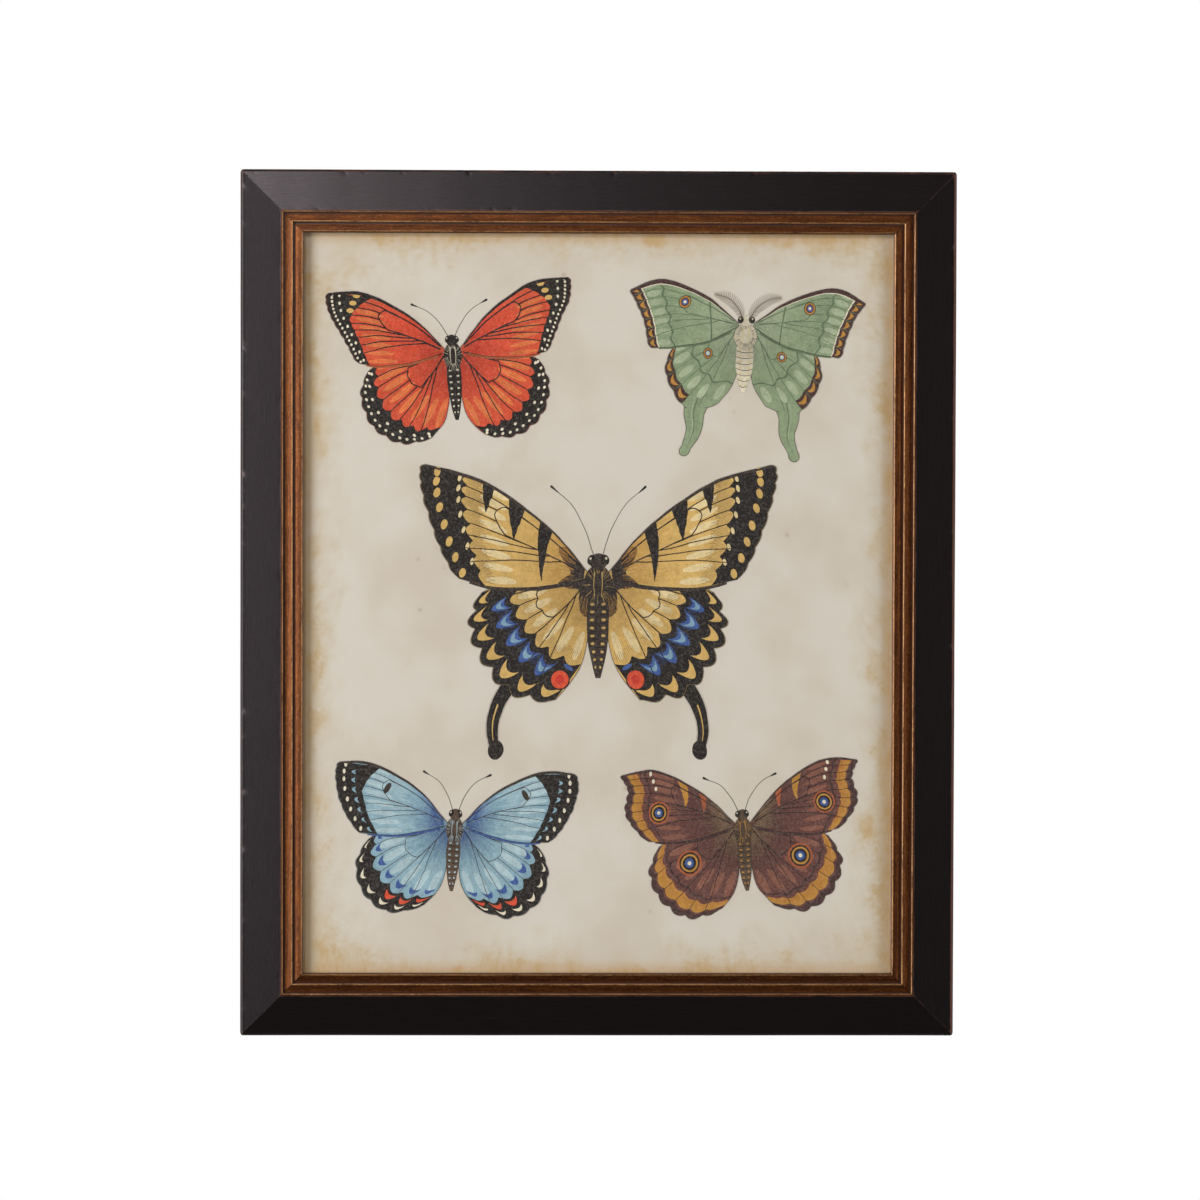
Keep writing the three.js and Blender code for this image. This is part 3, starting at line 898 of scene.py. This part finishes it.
def draw_vermilion(insect):
    """Vermilion wings with black veins and a black border that is dotted with cream."""
    fore = Wing((0.05, 0.10), (0.985, 0.64), (0.77, 0.05), [(0.30, 0.38), (0.65, 0.60)],
                [(0.96, 0.46), (0.86, 0.26)], [(0.30, 0.04), (0.56, 0.02)], 9, 0.01)
    hind = Wing((0.05, 0.10), (0.70, -0.02), (0.22, -0.60), [(0.30, 0.09), (0.52, 0.07)],
                [(0.75, -0.23), (0.67, -0.46), (0.47, -0.60)], [(0.05, -0.20), (0.09, -0.43)], 8, 0.02)
    insect.halos(hind, fore)
    insect.wing(hind, "vermilion")
    insect.spots(hind, "orange", 8, 0.62, 0.13, 0.026)
    insect.hatch(hind, "scarlet", 44, 0.12, 0.5, 0.2)
    insect.hatch(hind, "rust", 40, 0.6, 0.84, 0.1)
    insect.lay(hind.scalloped(0.81, 0.03, 8), "black")
    insect.spots(hind, "cream", 16, 0.955, 0.010, 0.013)
    insect.spots(hind, "cream", 8, 0.895, 0.011, 0.014)
    insect.veins(hind, "black", 8, 0.45, 0.85, (0.2, 0.55))
    insect.under_shade(fore, "rust")
    insect.wing(fore, "vermilion")
    insect.spots(fore, "orange", 9, 0.66, 0.12, 0.018, 2)
    insect.hatch(fore, "scarlet", 50, 0.12, 0.45, 0.16)
    insect.hatch(fore, "rust", 50, 0.56, 0.82, 0.1)
    insect.lay(fore.border(lambda d: 0.85 - 0.24 * max(0.0, 1 - d / 0.42) ** 1.2), "black")
    insect.spots(fore, "cream", 18, 0.955, 0.009, 0.011)
    insect.spots(fore, "cream", 9, 0.895, 0.010, 0.013)
    insect.spots(fore, "buff", 9, lambda d: 0.74 + 0.28 * d, 0.030, 0.020, 0, 3)
    insect.lay(fore.strip(0.0, 0.045), "black")
    insect.veins(fore, "black", 9, 0.54, 0.9, (0.14, 0.46))
    insect.body(0.45, 0.058, "black", "cream", 9)
    insect.clubbed_feelers([(0.022, 0.21), (0.09, 0.33), (0.18, 0.43), (0.30, 0.49)])


def draw_moth(insect):
    """Sage wings with a maroon leading edge, small eyes and long trailing tails."""
    fore = Wing((0.05, 0.15), (0.985, 0.40), (0.79, -0.08), [(0.34, 0.37), (0.70, 0.49)],
                [(0.90, 0.27), (0.83, 0.10)], [(0.30, 0.01), (0.56, -0.05)], 7, 0.006)
    hind = Wing((0.05, 0.15), (0.60, -0.06), (0.20, -0.52), [(0.28, 0.06), (0.46, 0.03)],
                [(0.64, -0.24), (0.57, -0.42), (0.44, -0.55)], [(0.05, -0.14), (0.09, -0.34)], 6, 0.012)
    tail_line = curve_through([(0.34, -0.40), (0.39, -0.57), (0.385, -0.73), (0.45, -0.90)])
    tail = stroke([tail_line(f) for f in steps(0, 1, 20)], 0.22, 0.065)
    insect.halos(hind, fore)
    tail_end = oval(tail_line(1.0), 0.040, 0.048, 0.5, 20)
    for shape in (tail, tail_end):
        insect.lay(grown_outline(shape, HALO / insect.span), "halo")
    for shape in (tail, tail_end):
        insect.lay(grown_outline(shape, TAIL_LINE / insect.span), "soft_black")
    for shape in (tail, tail_end):
        insect.lay(shape, "sage")
    insect.wing(hind, "sage", "soft_black")
    insect.lay(stroke([tail_line(f) for f in steps(0.02, 0.97, 20)], 0.17, 0.035), "sage")
    insect.lay(stroke([tail_line(f) for f in steps(0.1, 0.95, 20)], 0.010, 0.006), "dark_sage")
    sheen = [tail_line(f) + Vector((0.03 * (1 - f), 0)) for f in steps(0.12, 0.9, 20)]
    insect.lay(stroke(sheen, 0.006, 0.004), "pale_sage")
    insect.spots(hind, "pale_sage", 6, 0.78, 0.075, 0.030)
    insect.hatch(hind, "pale_sage", 40, 0.12, 0.44, 0.2)
    insect.hatch(hind, "dark_sage", 44, 0.6, 0.86, 0.16, 0.2)
    insect.lay(hind.wavy(0.63, 0.02, 26), "dark_sage")
    insect.lay(hind.band(0.90, MARGIN, 0.0, 0.66, 60), "dark_maroon")
    insect.lunules(hind, "ochre", 6, 0.925, 0.975, 0.01, 0.1, 0, 4)
    insect.veins(hind, "dark_sage", 6, 0.40, 0.6, (0.2, 0.55))
    rings = ((1.0, "black"), (0.88, "ochre"), (0.66, "maroon"), (0.42, "pale_sky"), (0.2, "cream"))
    insect.eye(hind, 0.47, 0.38, 0.042, rings)
    insect.under_shade(fore, "dark_sage")
    insect.wing(fore, "sage", "soft_black")
    insect.spots(fore, "pale_sage", 7, 0.80, 0.060, 0.026)
    insect.hatch(fore, "pale_sage", 50, 0.12, 0.42, 0.18)
    insect.hatch(fore, "dark_sage", 60, 0.62, 0.9, 0.14, 0.2)
    insect.lay(fore.wavy(0.70, 0.015, 30), "dark_sage")
    insect.lay(fore.band(0.30, 0.315, 0.1, 1.0, 30), "dark_sage")
    insect.lay(fore.border(0.90, 60), "dark_maroon")
    insect.lay(fore.band(0.885, 0.90, 0.0, 1.0, 60), "cream")
    insect.lunules(fore, "ochre", 7, 0.925, 0.975, 0.01, 0.1)
    insect.lay(fore.strip(0.0, 0.075), "dark_maroon")
    insect.lay(fore.strip(0.075, 0.09, 0.05, 0.90), "cream")
    insect.veins(fore, "dark_sage", 7, 0.52, 0.6, (0.2, 0.5))
    rings = ((1.0, "black"), (0.88, "ochre"), (0.68, "maroon"), (0.46, "cobalt"), (0.24, "cream"))
    insect.eye(fore, 0.53, 0.32, 0.05, rings)
    insect.body(0.40, 0.075, "cream", "pale_buff", 8)
    insect.feathered_feelers([(0.03, 0.20), (0.08, 0.30), (0.17, 0.37), (0.27, 0.39)], "brown")


def draw_blue(insect):
    """Sky-blue wings with a dark border, white dots in it, and orange crescents at the hind corners."""
    fore = Wing((0.05, 0.10), (0.97, 0.58), (0.79, 0.00), [(0.32, 0.38), (0.67, 0.56)],
                [(0.985, 0.42), (0.92, 0.20)], [(0.30, 0.03), (0.54, -0.01)], 8, 0.006)
    hind = Wing((0.05, 0.10), (0.71, -0.06), (0.22, -0.58), [(0.30, 0.07), (0.54, 0.05)],
                [(0.78, -0.27), (0.70, -0.50), (0.49, -0.63)], [(0.05, -0.18), (0.09, -0.40)], 7, 0.018)
    insect.halos(hind, fore)
    insect.wing(hind, "sky")
    insect.spots(hind, "pale_sky", 7, 0.62, 0.11, 0.030)
    insect.hatch(hind, "cobalt", 46, 0.08, 0.36, 0.2)
    insect.hatch(hind, "pale_sky", 50, 0.42, 0.78, 0.16, 0.3)
    insect.lay(hind.scalloped(0.80, 0.035, 7), "black")
    insect.lunules(hind, "cream", 7, 0.925, 0.965, 0.012, 0.2)
    insect.lunules(hind, "cobalt", 7, 0.715, 0.785, 0.02, 0.14)
    insect.lunules(hind, "vermilion", 7, 0.845, 0.905, 0.015, 0.12, 4, 7)
    insect.veins(hind, "soft_black", 7, 0.46, 0.45, (0.2, 0.55))
    insect.under_shade(fore, "cobalt")
    insect.wing(fore, "sky")
    insect.spots(fore, "pale_sky", 8, 0.64, 0.12, 0.020)
    insect.hatch(fore, "cobalt", 54, 0.08, 0.32, 0.18)
    insect.hatch(fore, "pale_sky", 60, 0.4, 0.78, 0.16, 0.3)
    insect.lay(fore.border(lambda d: 0.78 - 0.16 * max(0.0, 1 - d / 0.45)), "black")
    insect.spots(fore, "cream", 8, 0.93, 0.012, 0.020)
    insect.lunules(fore, "sky", 8, 0.825, 0.865, 0.012, 0.2, 1, 8)
    insect.lay(oval(fore.at(0.56, 0.31), 0.022, 0.05, 0.5, 18), "soft_black")
    insect.lay(fore.strip(0.0, 0.04), "soft_black")
    insect.veins(fore, "soft_black", 8, 0.55, 0.45, (0.16, 0.48))
    insect.body(0.44, 0.056, "brown", "pale_sky", 9)
    insect.clubbed_feelers([(0.022, 0.21), (0.07, 0.34), (0.15, 0.45), (0.27, 0.52)])


def draw_brown(insect):
    """Maroon-brown wings with an ochre margin and a large eye on each."""
    fore = Wing((0.05, 0.10), (0.97, 0.58), (0.79, 0.02), [(0.31, 0.38), (0.66, 0.58)],
                [(0.90, 0.44), (0.93, 0.24)], [(0.30, 0.03), (0.56, 0.00)], 8, 0.014)
    hind = Wing((0.05, 0.10), (0.70, -0.04), (0.22, -0.58), [(0.30, 0.08), (0.53, 0.06)],
                [(0.77, -0.25), (0.68, -0.47), (0.48, -0.61)], [(0.05, -0.18), (0.09, -0.40)], 7, 0.028)
    rings = ((1.0, "rust"), (0.84, "black"), (0.70, "ochre"), (0.55, "black"), (0.36, "cobalt"),
             (0.16, "cream"))
    insect.halos(hind, fore)
    insect.wing(hind, "maroon")
    insect.spots(hind, "chestnut", 7, 0.62, 0.11, 0.030)
    insect.hatch(hind, "dark_maroon", 54, 0.1, 0.5, 0.2)
    insect.hatch(hind, "fur", 44, 0.1, 0.34, 0.16)
    insect.lay(hind.band(0.78, 0.80, 0.0, 1.0, 70), "dark_maroon")
    insect.lay(hind.band(0.84, 0.935, 0.0, 1.0, 80), "ochre")
    insect.hatch(hind, "rust", 70, 0.84, 0.9, 0.04)
    insect.lay(hind.border(0.955, 80), "dark_maroon")
    insect.veins(hind, "black", 7, 0.44, 0.55, (0.2, 0.55))
    insect.eye(hind, 0.62, 0.40, 0.098, rings)
    insect.under_shade(fore, "dark_maroon")
    insect.wing(fore, "maroon")
    insect.spots(fore, "chestnut", 8, 0.64, 0.10, 0.020)
    insect.hatch(fore, "dark_maroon", 60, 0.1, 0.48, 0.18)
    insect.hatch(fore, "fur", 44, 0.1, 0.3, 0.14)
    insect.lay(fore.wedge(0.33, 0.06, 0.5), "rust")
    insect.lay(fore.wedge(0.48, 0.07, 0.5), "ochre")
    insect.lay(fore.band(0.78, 0.80, 0.0, 1.0, 70), "dark_maroon")
    insect.lay(fore.band(0.85, 0.94, 0.0, 1.0, 80), "ochre")
    insect.hatch(fore, "rust", 70, 0.85, 0.9, 0.04)
    insect.lay(fore.border(0.955, 80), "dark_maroon")
    insect.lay(fore.strip(0.0, 0.04), "dark_maroon")
    insect.veins(fore, "black", 8, 0.55, 0.55, (0.16, 0.47))
    insect.eye(fore, 0.70, 0.62, 0.085, rings)
    insect.spots(fore, "cream", 8, 0.73, 0.012, 0.018, 0, 3)
    insect.body(0.43, 0.058, "brown", "ochre", 9)
    insect.clubbed_feelers([(0.022, 0.21), (0.08, 0.33), (0.17, 0.44), (0.29, 0.50)])


def drawn_sheet():
    sheet = Sheet()
    draw_vermilion(Insect(sheet, (-98, 162), 84, 4))
    draw_moth(Insect(sheet, (99, 176), 82, -3))
    draw_blue(Insect(sheet, (-97, -158), 83, -3))
    draw_brown(Insect(sheet, (99, -158), 84, 4))
    draw_swallowtail(Insect(sheet, (0, 6), 122, 0))
    return sheet


def paint(mesh, sheet, places, owners):
    """Gives each corner of the sheet's face its ink, deeper near an insect's body, and how far it covers."""
    mesh.attributes.new("ink", "FLOAT_COLOR", "CORNER")
    mesh.attributes.new("cover", "FLOAT", "CORNER")
    inks = mesh.attributes["ink"].data
    covers = mesh.attributes["cover"].data
    colours = {name: printed(*seen) for name, seen in INKS.items()}
    for polygon, owned in zip(mesh.polygons, owners):
        patch = max(owned)
        if patch == 0:
            continue
        _, name, insect, tone = sheet.patches[patch - 1]
        for corner in polygon.loop_indices:
            place = places[mesh.loops[corner].vertex_index]
            reach = (place - insect.centre).length / insect.span
            shade = tone * (1 - ROOT_SHADE * math.exp(-(reach / ROOT_SHADE_REACH) ** 2))
            inks[corner].color = [part * shade for part in colours[name][:3]] + [1.0]
            covers[corner].value = 1.0


def print_mesh(low, high):
    """The sheet as one flat mesh, whose face is cut along every ink edge. Patch 0 is the bare sheet."""
    sheet = drawn_sheet()
    sheet_corners = ((low.x, low.z), (high.x, low.z), (high.x, high.z), (low.x, high.z))
    corners = [Vector(((x - CENTRE.x) / MM, (z - CENTRE.z) / MM)) for x, z in sheet_corners]
    points = list(corners)
    faces = [[0, 1, 2, 3]]
    for outline, _, _, _ in sheet.patches:
        faces.append(list(range(len(points), len(points) + len(outline))))
        points += outline
    points += sheet.loose
    cut = delaunay_2d_cdt(points, [], faces, CUT_INSIDE, CUT_CLOSEST)
    places, triangles, owners = cut[0], cut[2], cut[5]
    back = len(places)
    vertices = [(CENTRE.x + p.x * MM, low.y, CENTRE.z + p.y * MM) for p in places]
    vertices += [(x, high.y, z) for x, z in sheet_corners]
    rim = [min(range(back), key=lambda i: (places[i] - corner).length) for corner in corners]
    quads = [[rim[(i + 1) % 4], rim[i], back + i, back + (i + 1) % 4] for i in range(4)]
    quads.append([back + i for i in (3, 2, 1, 0)])
    mesh = bpy.data.meshes.new("print_sheet")
    mesh.from_pydata(vertices, [], [list(triangle) for triangle in triangles] + quads)
    paint(mesh, sheet, places, owners)
    return mesh


def print_paper():
    """Aged paper with a faint weave, browned towards its edges and foxed in spots, under washes of ink.
    Near the sight edges part of that browning is painted shade and painted warm bounce from the bronze lip.
    """
    material, tree, shader = new_material("printed_paper")
    point = object_point(tree)
    x, _, z = parts_of(point)
    ink = attribute(tree, "ink", "Color")
    cover = attribute(tree, "cover")
    cloud = grain(point, 14.0, 5.0, 0.6)
    blot = grain(point, 48.0, 8.0, 0.66)
    grit = grain(point, 190.0, 6.0, 0.7)
    fibre = grain(point, 900.0, 3.0, 0.6)

    paper = mixed(rising(cloud, 0.35, 0.68), printed(212, 202, 190), printed(204, 191, 175))
    side = calc("MAXIMUM", SIGHT_WIDTH / 2 * MM - calc("ABSOLUTE", x - CENTRE.x), 1 * MM)
    ends = calc("MAXIMUM", SIGHT_HEIGHT / 2 * MM - calc("ABSOLUTE", z - CENTRE.z), 1 * MM)
    ragged = 42 * MM * (blot + cloud - 1) + 18 * MM * (grit - 0.5)
    inset = side * ends / (side + ends) + ragged
    warmed = falling(inset, 0.0, 22 * MM)
    paper = mixed(0.6 * warmed, paper, printed(197, 178, 147))
    mottle = rising(grain(stretched(point, 120.0, 120.0, 60.0), 1.0, 7.0, 0.72), 0.40, 0.62)
    # Ragged tan near the edges: partly stains, partly painted warm bounce light from the bronze lip inside
    # the frame's shadow
    edge_tan_and_bounce = falling(inset, -3 * MM, 10 * MM) * (0.85 * mottle + 0.32)
    paper = mixed(0.66 * edge_tan_and_bounce, paper, printed(191, 157, 106))
    # An even browner band along all four sight edges, where the lip's shadow falls: painted shade and painted
    # warm bounce from the bronze lip, over the edge toning
    rim = falling(calc("MINIMUM", side, ends), 1 * MM, 10 * MM)
    paper = mixed(0.38 * rim, paper, printed(190, 146, 96))
    speckle = {"Vector": point, "Scale": 44.0, "Randomness": 1.0}
    spot = value_of(tree, "ShaderNodeTexVoronoi", speckle, "Distance") + 0.25 * (grit - 0.5)
    foxed = falling(spot, 0.02, 0.12) * rising(cloud, 0.46, 0.62)
    paper = mixed(0.42 * foxed, paper, printed(158, 122, 78))

    wash = grain(point, 150.0, 5.0, 0.7)
    pooled = grain(point, 700.0, 3.0, 0.65)
    tint = 0.75 * wash + 0.45 * pooled + 0.40
    washed = mixed(1.0, ink, combined(tint, tint, tint), "MULTIPLY")
    laid = cover * (0.985 - 0.10 * rising(pooled, 0.42, 0.75))
    colour = mixed(laid, paper, washed)

    thread = {"Vector": point, "Scale": 300.0, "Distortion": 1.5, "Detail": 2.0, "Detail Scale": 0.6}
    warp, weft = (value_of(tree, "ShaderNodeTexWave", thread, "Fac", bands_direction=way) for way in "XZ")
    weave = 0.06 * (0.5 * warp + 0.5 * weft) + 0.10 * fibre
    woven = weave + 0.92
    colour = mixed(1.0, colour, combined(woven, woven, woven), "MULTIPLY")
    set_inputs(shader, Base_Color=colour, Roughness=0.88, Specular_IOR_Level=0.15,
               Normal=bumped(weave, 0.25 * MM, 0.5))
    return material


def build_print():
    low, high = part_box("print")
    add_piece("printed_sheet", print_mesh(low, high), print_paper(), "print_paper", "print")


# Glass, board and hardware

STEEL_EASE = 0.12 * MM
RUBBER_EASE = 0.25 * MM
EASED_DEGREES = 30
HARDWARE_SMOOTH_DEGREES = 45
MERGE_DISTANCE = 0.002 * MM
# The V-nails' tops show a hair above the rails' back, whose pockets the moulding doesn't repeat
V_NAIL_LIFT = 0.35 * MM


def clear_glass():
    """Thin picture glass: what is behind it shows through, and it mirrors a little, more so at a slant."""
    material, tree, shader = new_material("picture_glass")
    tree.nodes.remove(shader)
    through = value_of(tree, "ShaderNodeBsdfTransparent", {"Color": (0.985, 0.992, 0.988, 1)})
    mirror = value_of(tree, "ShaderNodeBsdfGlossy", {"Color": (1, 1, 1, 1), "Roughness": 0.02})
    slant = value_of(tree, "ShaderNodeLayerWeight", {"Blend": 0.5}, "Facing")
    mirrored = 0.96 * slant ** 5.0 + 0.04
    both = value_of(tree, "ShaderNodeMixShader", {0: mirrored, 1: through, 2: mirror})
    fill(tree.nodes["Material Output"].inputs["Surface"], both)
    return material


def hardboard():
    """Pressed brown board with fibres and a few scuffs."""
    material, tree, shader = new_material("brown_hardboard")
    point = object_point(tree)
    fibre = grain(stretched(point, 1.0, 1.0, 0.45), 420.0, 5.0, 0.7)
    cloud = grain(point, 16.0, 4.0, 0.6)
    scuff = rising(grain(stretched(point, 6.0, 1.0, 60.0), 1.0, 5.0, 0.6), 0.64, 0.72)
    colour = mixed(fibre, (0.10, 0.05, 0.022, 1), (0.30, 0.17, 0.08, 1))
    colour = mixed(0.5 * cloud, colour, (0.16, 0.085, 0.04, 1))
    colour = mixed(0.25 * scuff, colour, (0.42, 0.28, 0.16, 1))
    set_inputs(shader, Base_Color=colour, Roughness=0.2 * fibre + 0.62, Normal=bumped(fibre, 0.2 * MM, 0.6))
    return material


def rolled_metal(name, dark, light, rough):
    """Rolled sheet metal with fine lines, dull patches and a little tarnish."""
    material, tree, shader = new_material(name)
    point = object_point(tree)
    lines = grain(stretched(point, 0.15, 1.0, 1.0), 1800.0, 3.0, 0.6)
    dull = grain(point, 150.0, 4.0, 0.6)
    colour = mixed(0.4 * lines + 0.6 * dull, dark, light)
    set_inputs(shader, Base_Color=colour, Metallic=1.0, Roughness=0.3 * dull + rough,
               Normal=bumped(lines, 0.02 * MM))
    return material


def bumper_rubber():
    """Black rubber with fine pits and some dust."""
    material, tree, shader = new_material("bumper_rubber")
    point = object_point(tree)
    pits = grain(point, 1500.0, 3.0, 0.6)
    dust = grain(point, 260.0, 4.0, 0.6)
    colour = mixed(rising(dust, 0.5, 0.75), (0.012, 0.012, 0.013, 1), (0.05, 0.048, 0.045, 1))
    set_inputs(shader, Base_Color=colour, Roughness=0.2 * pits + 0.65, Normal=bumped(pits, 0.05 * MM))
    return material


def eased_copy(node, ease):
    """A CAD node's solid with its sharp edges eased."""
    shape = bmesh.new()
    shape.from_mesh(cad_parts[node].data)
    bmesh.ops.remove_doubles(shape, verts=shape.verts, dist=MERGE_DISTANCE)
    bmesh.ops.dissolve_limit(shape, angle_limit=math.radians(1), verts=shape.verts, edges=shape.edges)
    least = math.radians(EASED_DEGREES)
    sharp = [edge for edge in shape.edges if len(edge.link_faces) == 2 and edge.calc_face_angle() > least]
    bmesh.ops.bevel(shape, geom=sharp, offset=ease, segments=2, profile=0.6, affect="EDGES",
                    clamp_overlap=True)
    mesh = bpy.data.meshes.new(node + "_eased")
    shape.to_mesh(mesh)
    shape.free()
    smooth_by_angle(mesh, HARDWARE_SMOOTH_DEGREES)
    return mesh


def set_out_tree():
    """Sets a copy of one piece at every point, turned about the frame's depth by the point's own turn."""
    tree, given = new_tree("set_out_pieces", {"Piece": "Object", "Finish": "Material"})
    piece = value_of(tree, "GeometryNodeObjectInfo", {"Object": given["Piece"]}, "Geometry")
    turn = value_of(tree, "GeometryNodeInputNamedAttribute", {"Name": "turn"}, data_type="FLOAT")
    copies = value_of(tree, "GeometryNodeInstanceOnPoints", {
        "Points": given["Geometry"], "Instance": piece, "Rotation": combined(0.0, turn, 0.0)})
    end_tree(tree, copies, given["Finish"])
    return tree


def middle_of(node):
    low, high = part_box(node)
    return (low + high) / 2


def set_out(name, first, turns, tree, finish, lift=0.0):
    """Copies the first node's eased solid to every node that turns names with its quarter turns."""
    shape = eased_copy(first, STEEL_EASE)
    shape.transform(Matrix.Translation(-middle_of(first)))
    piece = bpy.data.objects.new(first + "_copy", shape)
    bpy.context.scene.collection.objects.link(piece)
    places = bpy.data.meshes.new(name)
    places.from_pydata([middle_of(node) + Vector((0, lift, 0)) for node in turns], [], [])
    kept = places.attributes.new("turn", "FLOAT", "POINT").data
    for number, quarters in enumerate(turns.values()):
        kept[number].value = quarters * math.pi / 2
    mesh = grown_mesh(bpy.data.objects.new(name, places), tree, {"Piece": piece, "Finish": finish})
    bpy.data.objects.remove(piece)
    add_piece(name, mesh, None, "steel", *turns)


def build_hardware():
    steel = rolled_metal("bright_steel", (0.30, 0.30, 0.31, 1), (0.62, 0.62, 0.63, 1), 0.22)
    brass = rolled_metal("brass_plate", (0.34, 0.23, 0.08, 1), (0.72, 0.53, 0.24, 1), 0.2)
    rubber = bumper_rubber()
    tree = set_out_tree()
    sides = {"bottom": 0, "left": 1, "top": 2, "right": 3}
    corners = {"bottom_left": 0, "top_left": 1, "top_right": 2, "bottom_right": 3}
    points = sorted(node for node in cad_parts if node.startswith("point_"))
    point_turns = {node: sides[node.split("_")[1]] for node in points}
    nail_turns = {f"v_nail_{corner}_{row}": turn for corner, turn in corners.items()
                  for row in ("outer", "inner")}
    set_out("steel_points", "point_bottom_1", point_turns, tree, steel)
    set_out("steel_v_nails", "v_nail_bottom_left_outer", nail_turns, tree, steel, V_NAIL_LIFT)
    for node in ("hanger", "hanger_nail_left", "hanger_nail_right"):
        add_piece(f"brass_{node}", eased_copy(node, STEEL_EASE), brass, "brassed_steel", node)
    for node in ("bumper_left", "bumper_right"):
        add_piece(f"rubber_{node}", eased_copy(node, RUBBER_EASE), rubber, "rubber", node)


def dress_sheets():
    """The glass and the backing board keep their CAD shape."""
    for node, finish in (("glass", clear_glass()), ("backing_board", hardboard())):
        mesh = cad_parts[node].data
        mesh.materials.clear()
        mesh.materials.append(finish)


# Camera, light and floor

ROOM_LIGHT = 0.078
FLOOR_HALF = 1.2
FLOOR_DROP = 1.9


def build_camera():
    yaw, pitch, roll = (math.radians(angle) for angle in (CAMERA_YAW, CAMERA_PITCH, CAMERA_ROLL))
    ahead = Vector((math.sin(yaw) * math.cos(pitch), math.cos(yaw) * math.cos(pitch), math.sin(pitch)))
    right = Vector((math.cos(yaw), -math.sin(yaw), 0))
    up = right.cross(ahead)
    turned_right = right * math.cos(roll) + up * math.sin(roll)
    turned_up = up * math.cos(roll) - right * math.sin(roll)
    data = bpy.data.cameras.new("camera")
    data.lens = CAMERA_LENS
    data.sensor_width = CAMERA_SENSOR
    camera = bpy.data.objects.new("camera", data)
    rotation = Matrix((turned_right, turned_up, -ahead)).transposed()
    camera.matrix_world = Matrix.Translation(CAMERA_PLACE) @ rotation.to_4x4()
    bpy.context.scene.collection.objects.link(camera)
    bpy.context.scene.camera = camera


def add_softbox(name, place, wide, tall, watts, colour=(1, 1, 1)):
    """A soft rectangular light that faces the middle of the picture."""
    data = bpy.data.lights.new(name, "AREA")
    data.shape = "RECTANGLE"
    data.size = wide
    data.size_y = tall
    data.energy = watts
    data.color = colour
    light = bpy.data.objects.new(name, data)
    light.location = CENTRE + Vector(place)
    light.rotation_euler = (-Vector(place)).to_track_quat("-Z", "Y").to_euler()
    bpy.context.scene.collection.objects.link(light)


def build_light():
    """Four softboxes and a dim room, in front of a backdrop that the camera sees as white."""
    add_softbox("key_softbox", (-3.0, -2.8, 0.2), 2.0, 2.0, 130, (0.985, 0.985, 1.0))
    add_softbox("fill_softbox", (3.3, -2.1, 0.3), 2.0, 2.0, 58)
    add_softbox("top_softbox", (-0.84, -3.0, 1.41), 0.5, 0.4, 22)
    add_softbox("back_softbox", (0.6, 2.4, 1.0), 1.6, 1.6, 45)
    world = bpy.data.worlds.new("studio")
    world.use_nodes = True
    tree = world.node_tree
    tree.nodes.clear()
    room = value_of(tree, "ShaderNodeBackground", {"Color": (1, 1, 1, 1), "Strength": ROOM_LIGHT})
    white = value_of(tree, "ShaderNodeBackground", {"Color": (1, 1, 1, 1), "Strength": 1.0})
    seen = value_of(tree, "ShaderNodeLightPath", (), "Is Camera Ray")
    both = value_of(tree, "ShaderNodeMixShader", {0: seen, 1: room, 2: white})
    put(tree, "ShaderNodeOutputWorld", {"Surface": both})
    bpy.context.scene.world = world
    bpy.context.scene.view_settings.view_transform = "Standard"


def build_floor():
    """A pale studio floor, well below the hung frame."""
    mesh = bpy.data.meshes.new("studio_floor")
    low = OUTER_LOW.z - FLOOR_DROP
    corners = [(x * FLOOR_HALF, y * FLOOR_HALF, low) for x, y in ((-1, -1), (1, -1), (1, 1), (-1, 1))]
    mesh.from_pydata(corners, [], [[0, 1, 2, 3]])
    floor = bpy.data.objects.new("studio_floor", mesh)
    material, tree, shader = new_material("pale_floor")
    speckle = grain(object_point(tree), 40.0, 4.0)
    set_inputs(shader, Base_Color=mixed(speckle, (0.78, 0.78, 0.77, 1), (0.84, 0.84, 0.83, 1)), Roughness=0.8)
    mesh.materials.append(material)
    bpy.context.scene.collection.objects.link(floor)


build_camera()
build_light()
build_floor()
build_moulding()
build_print()
dress_sheets()
build_hardware()
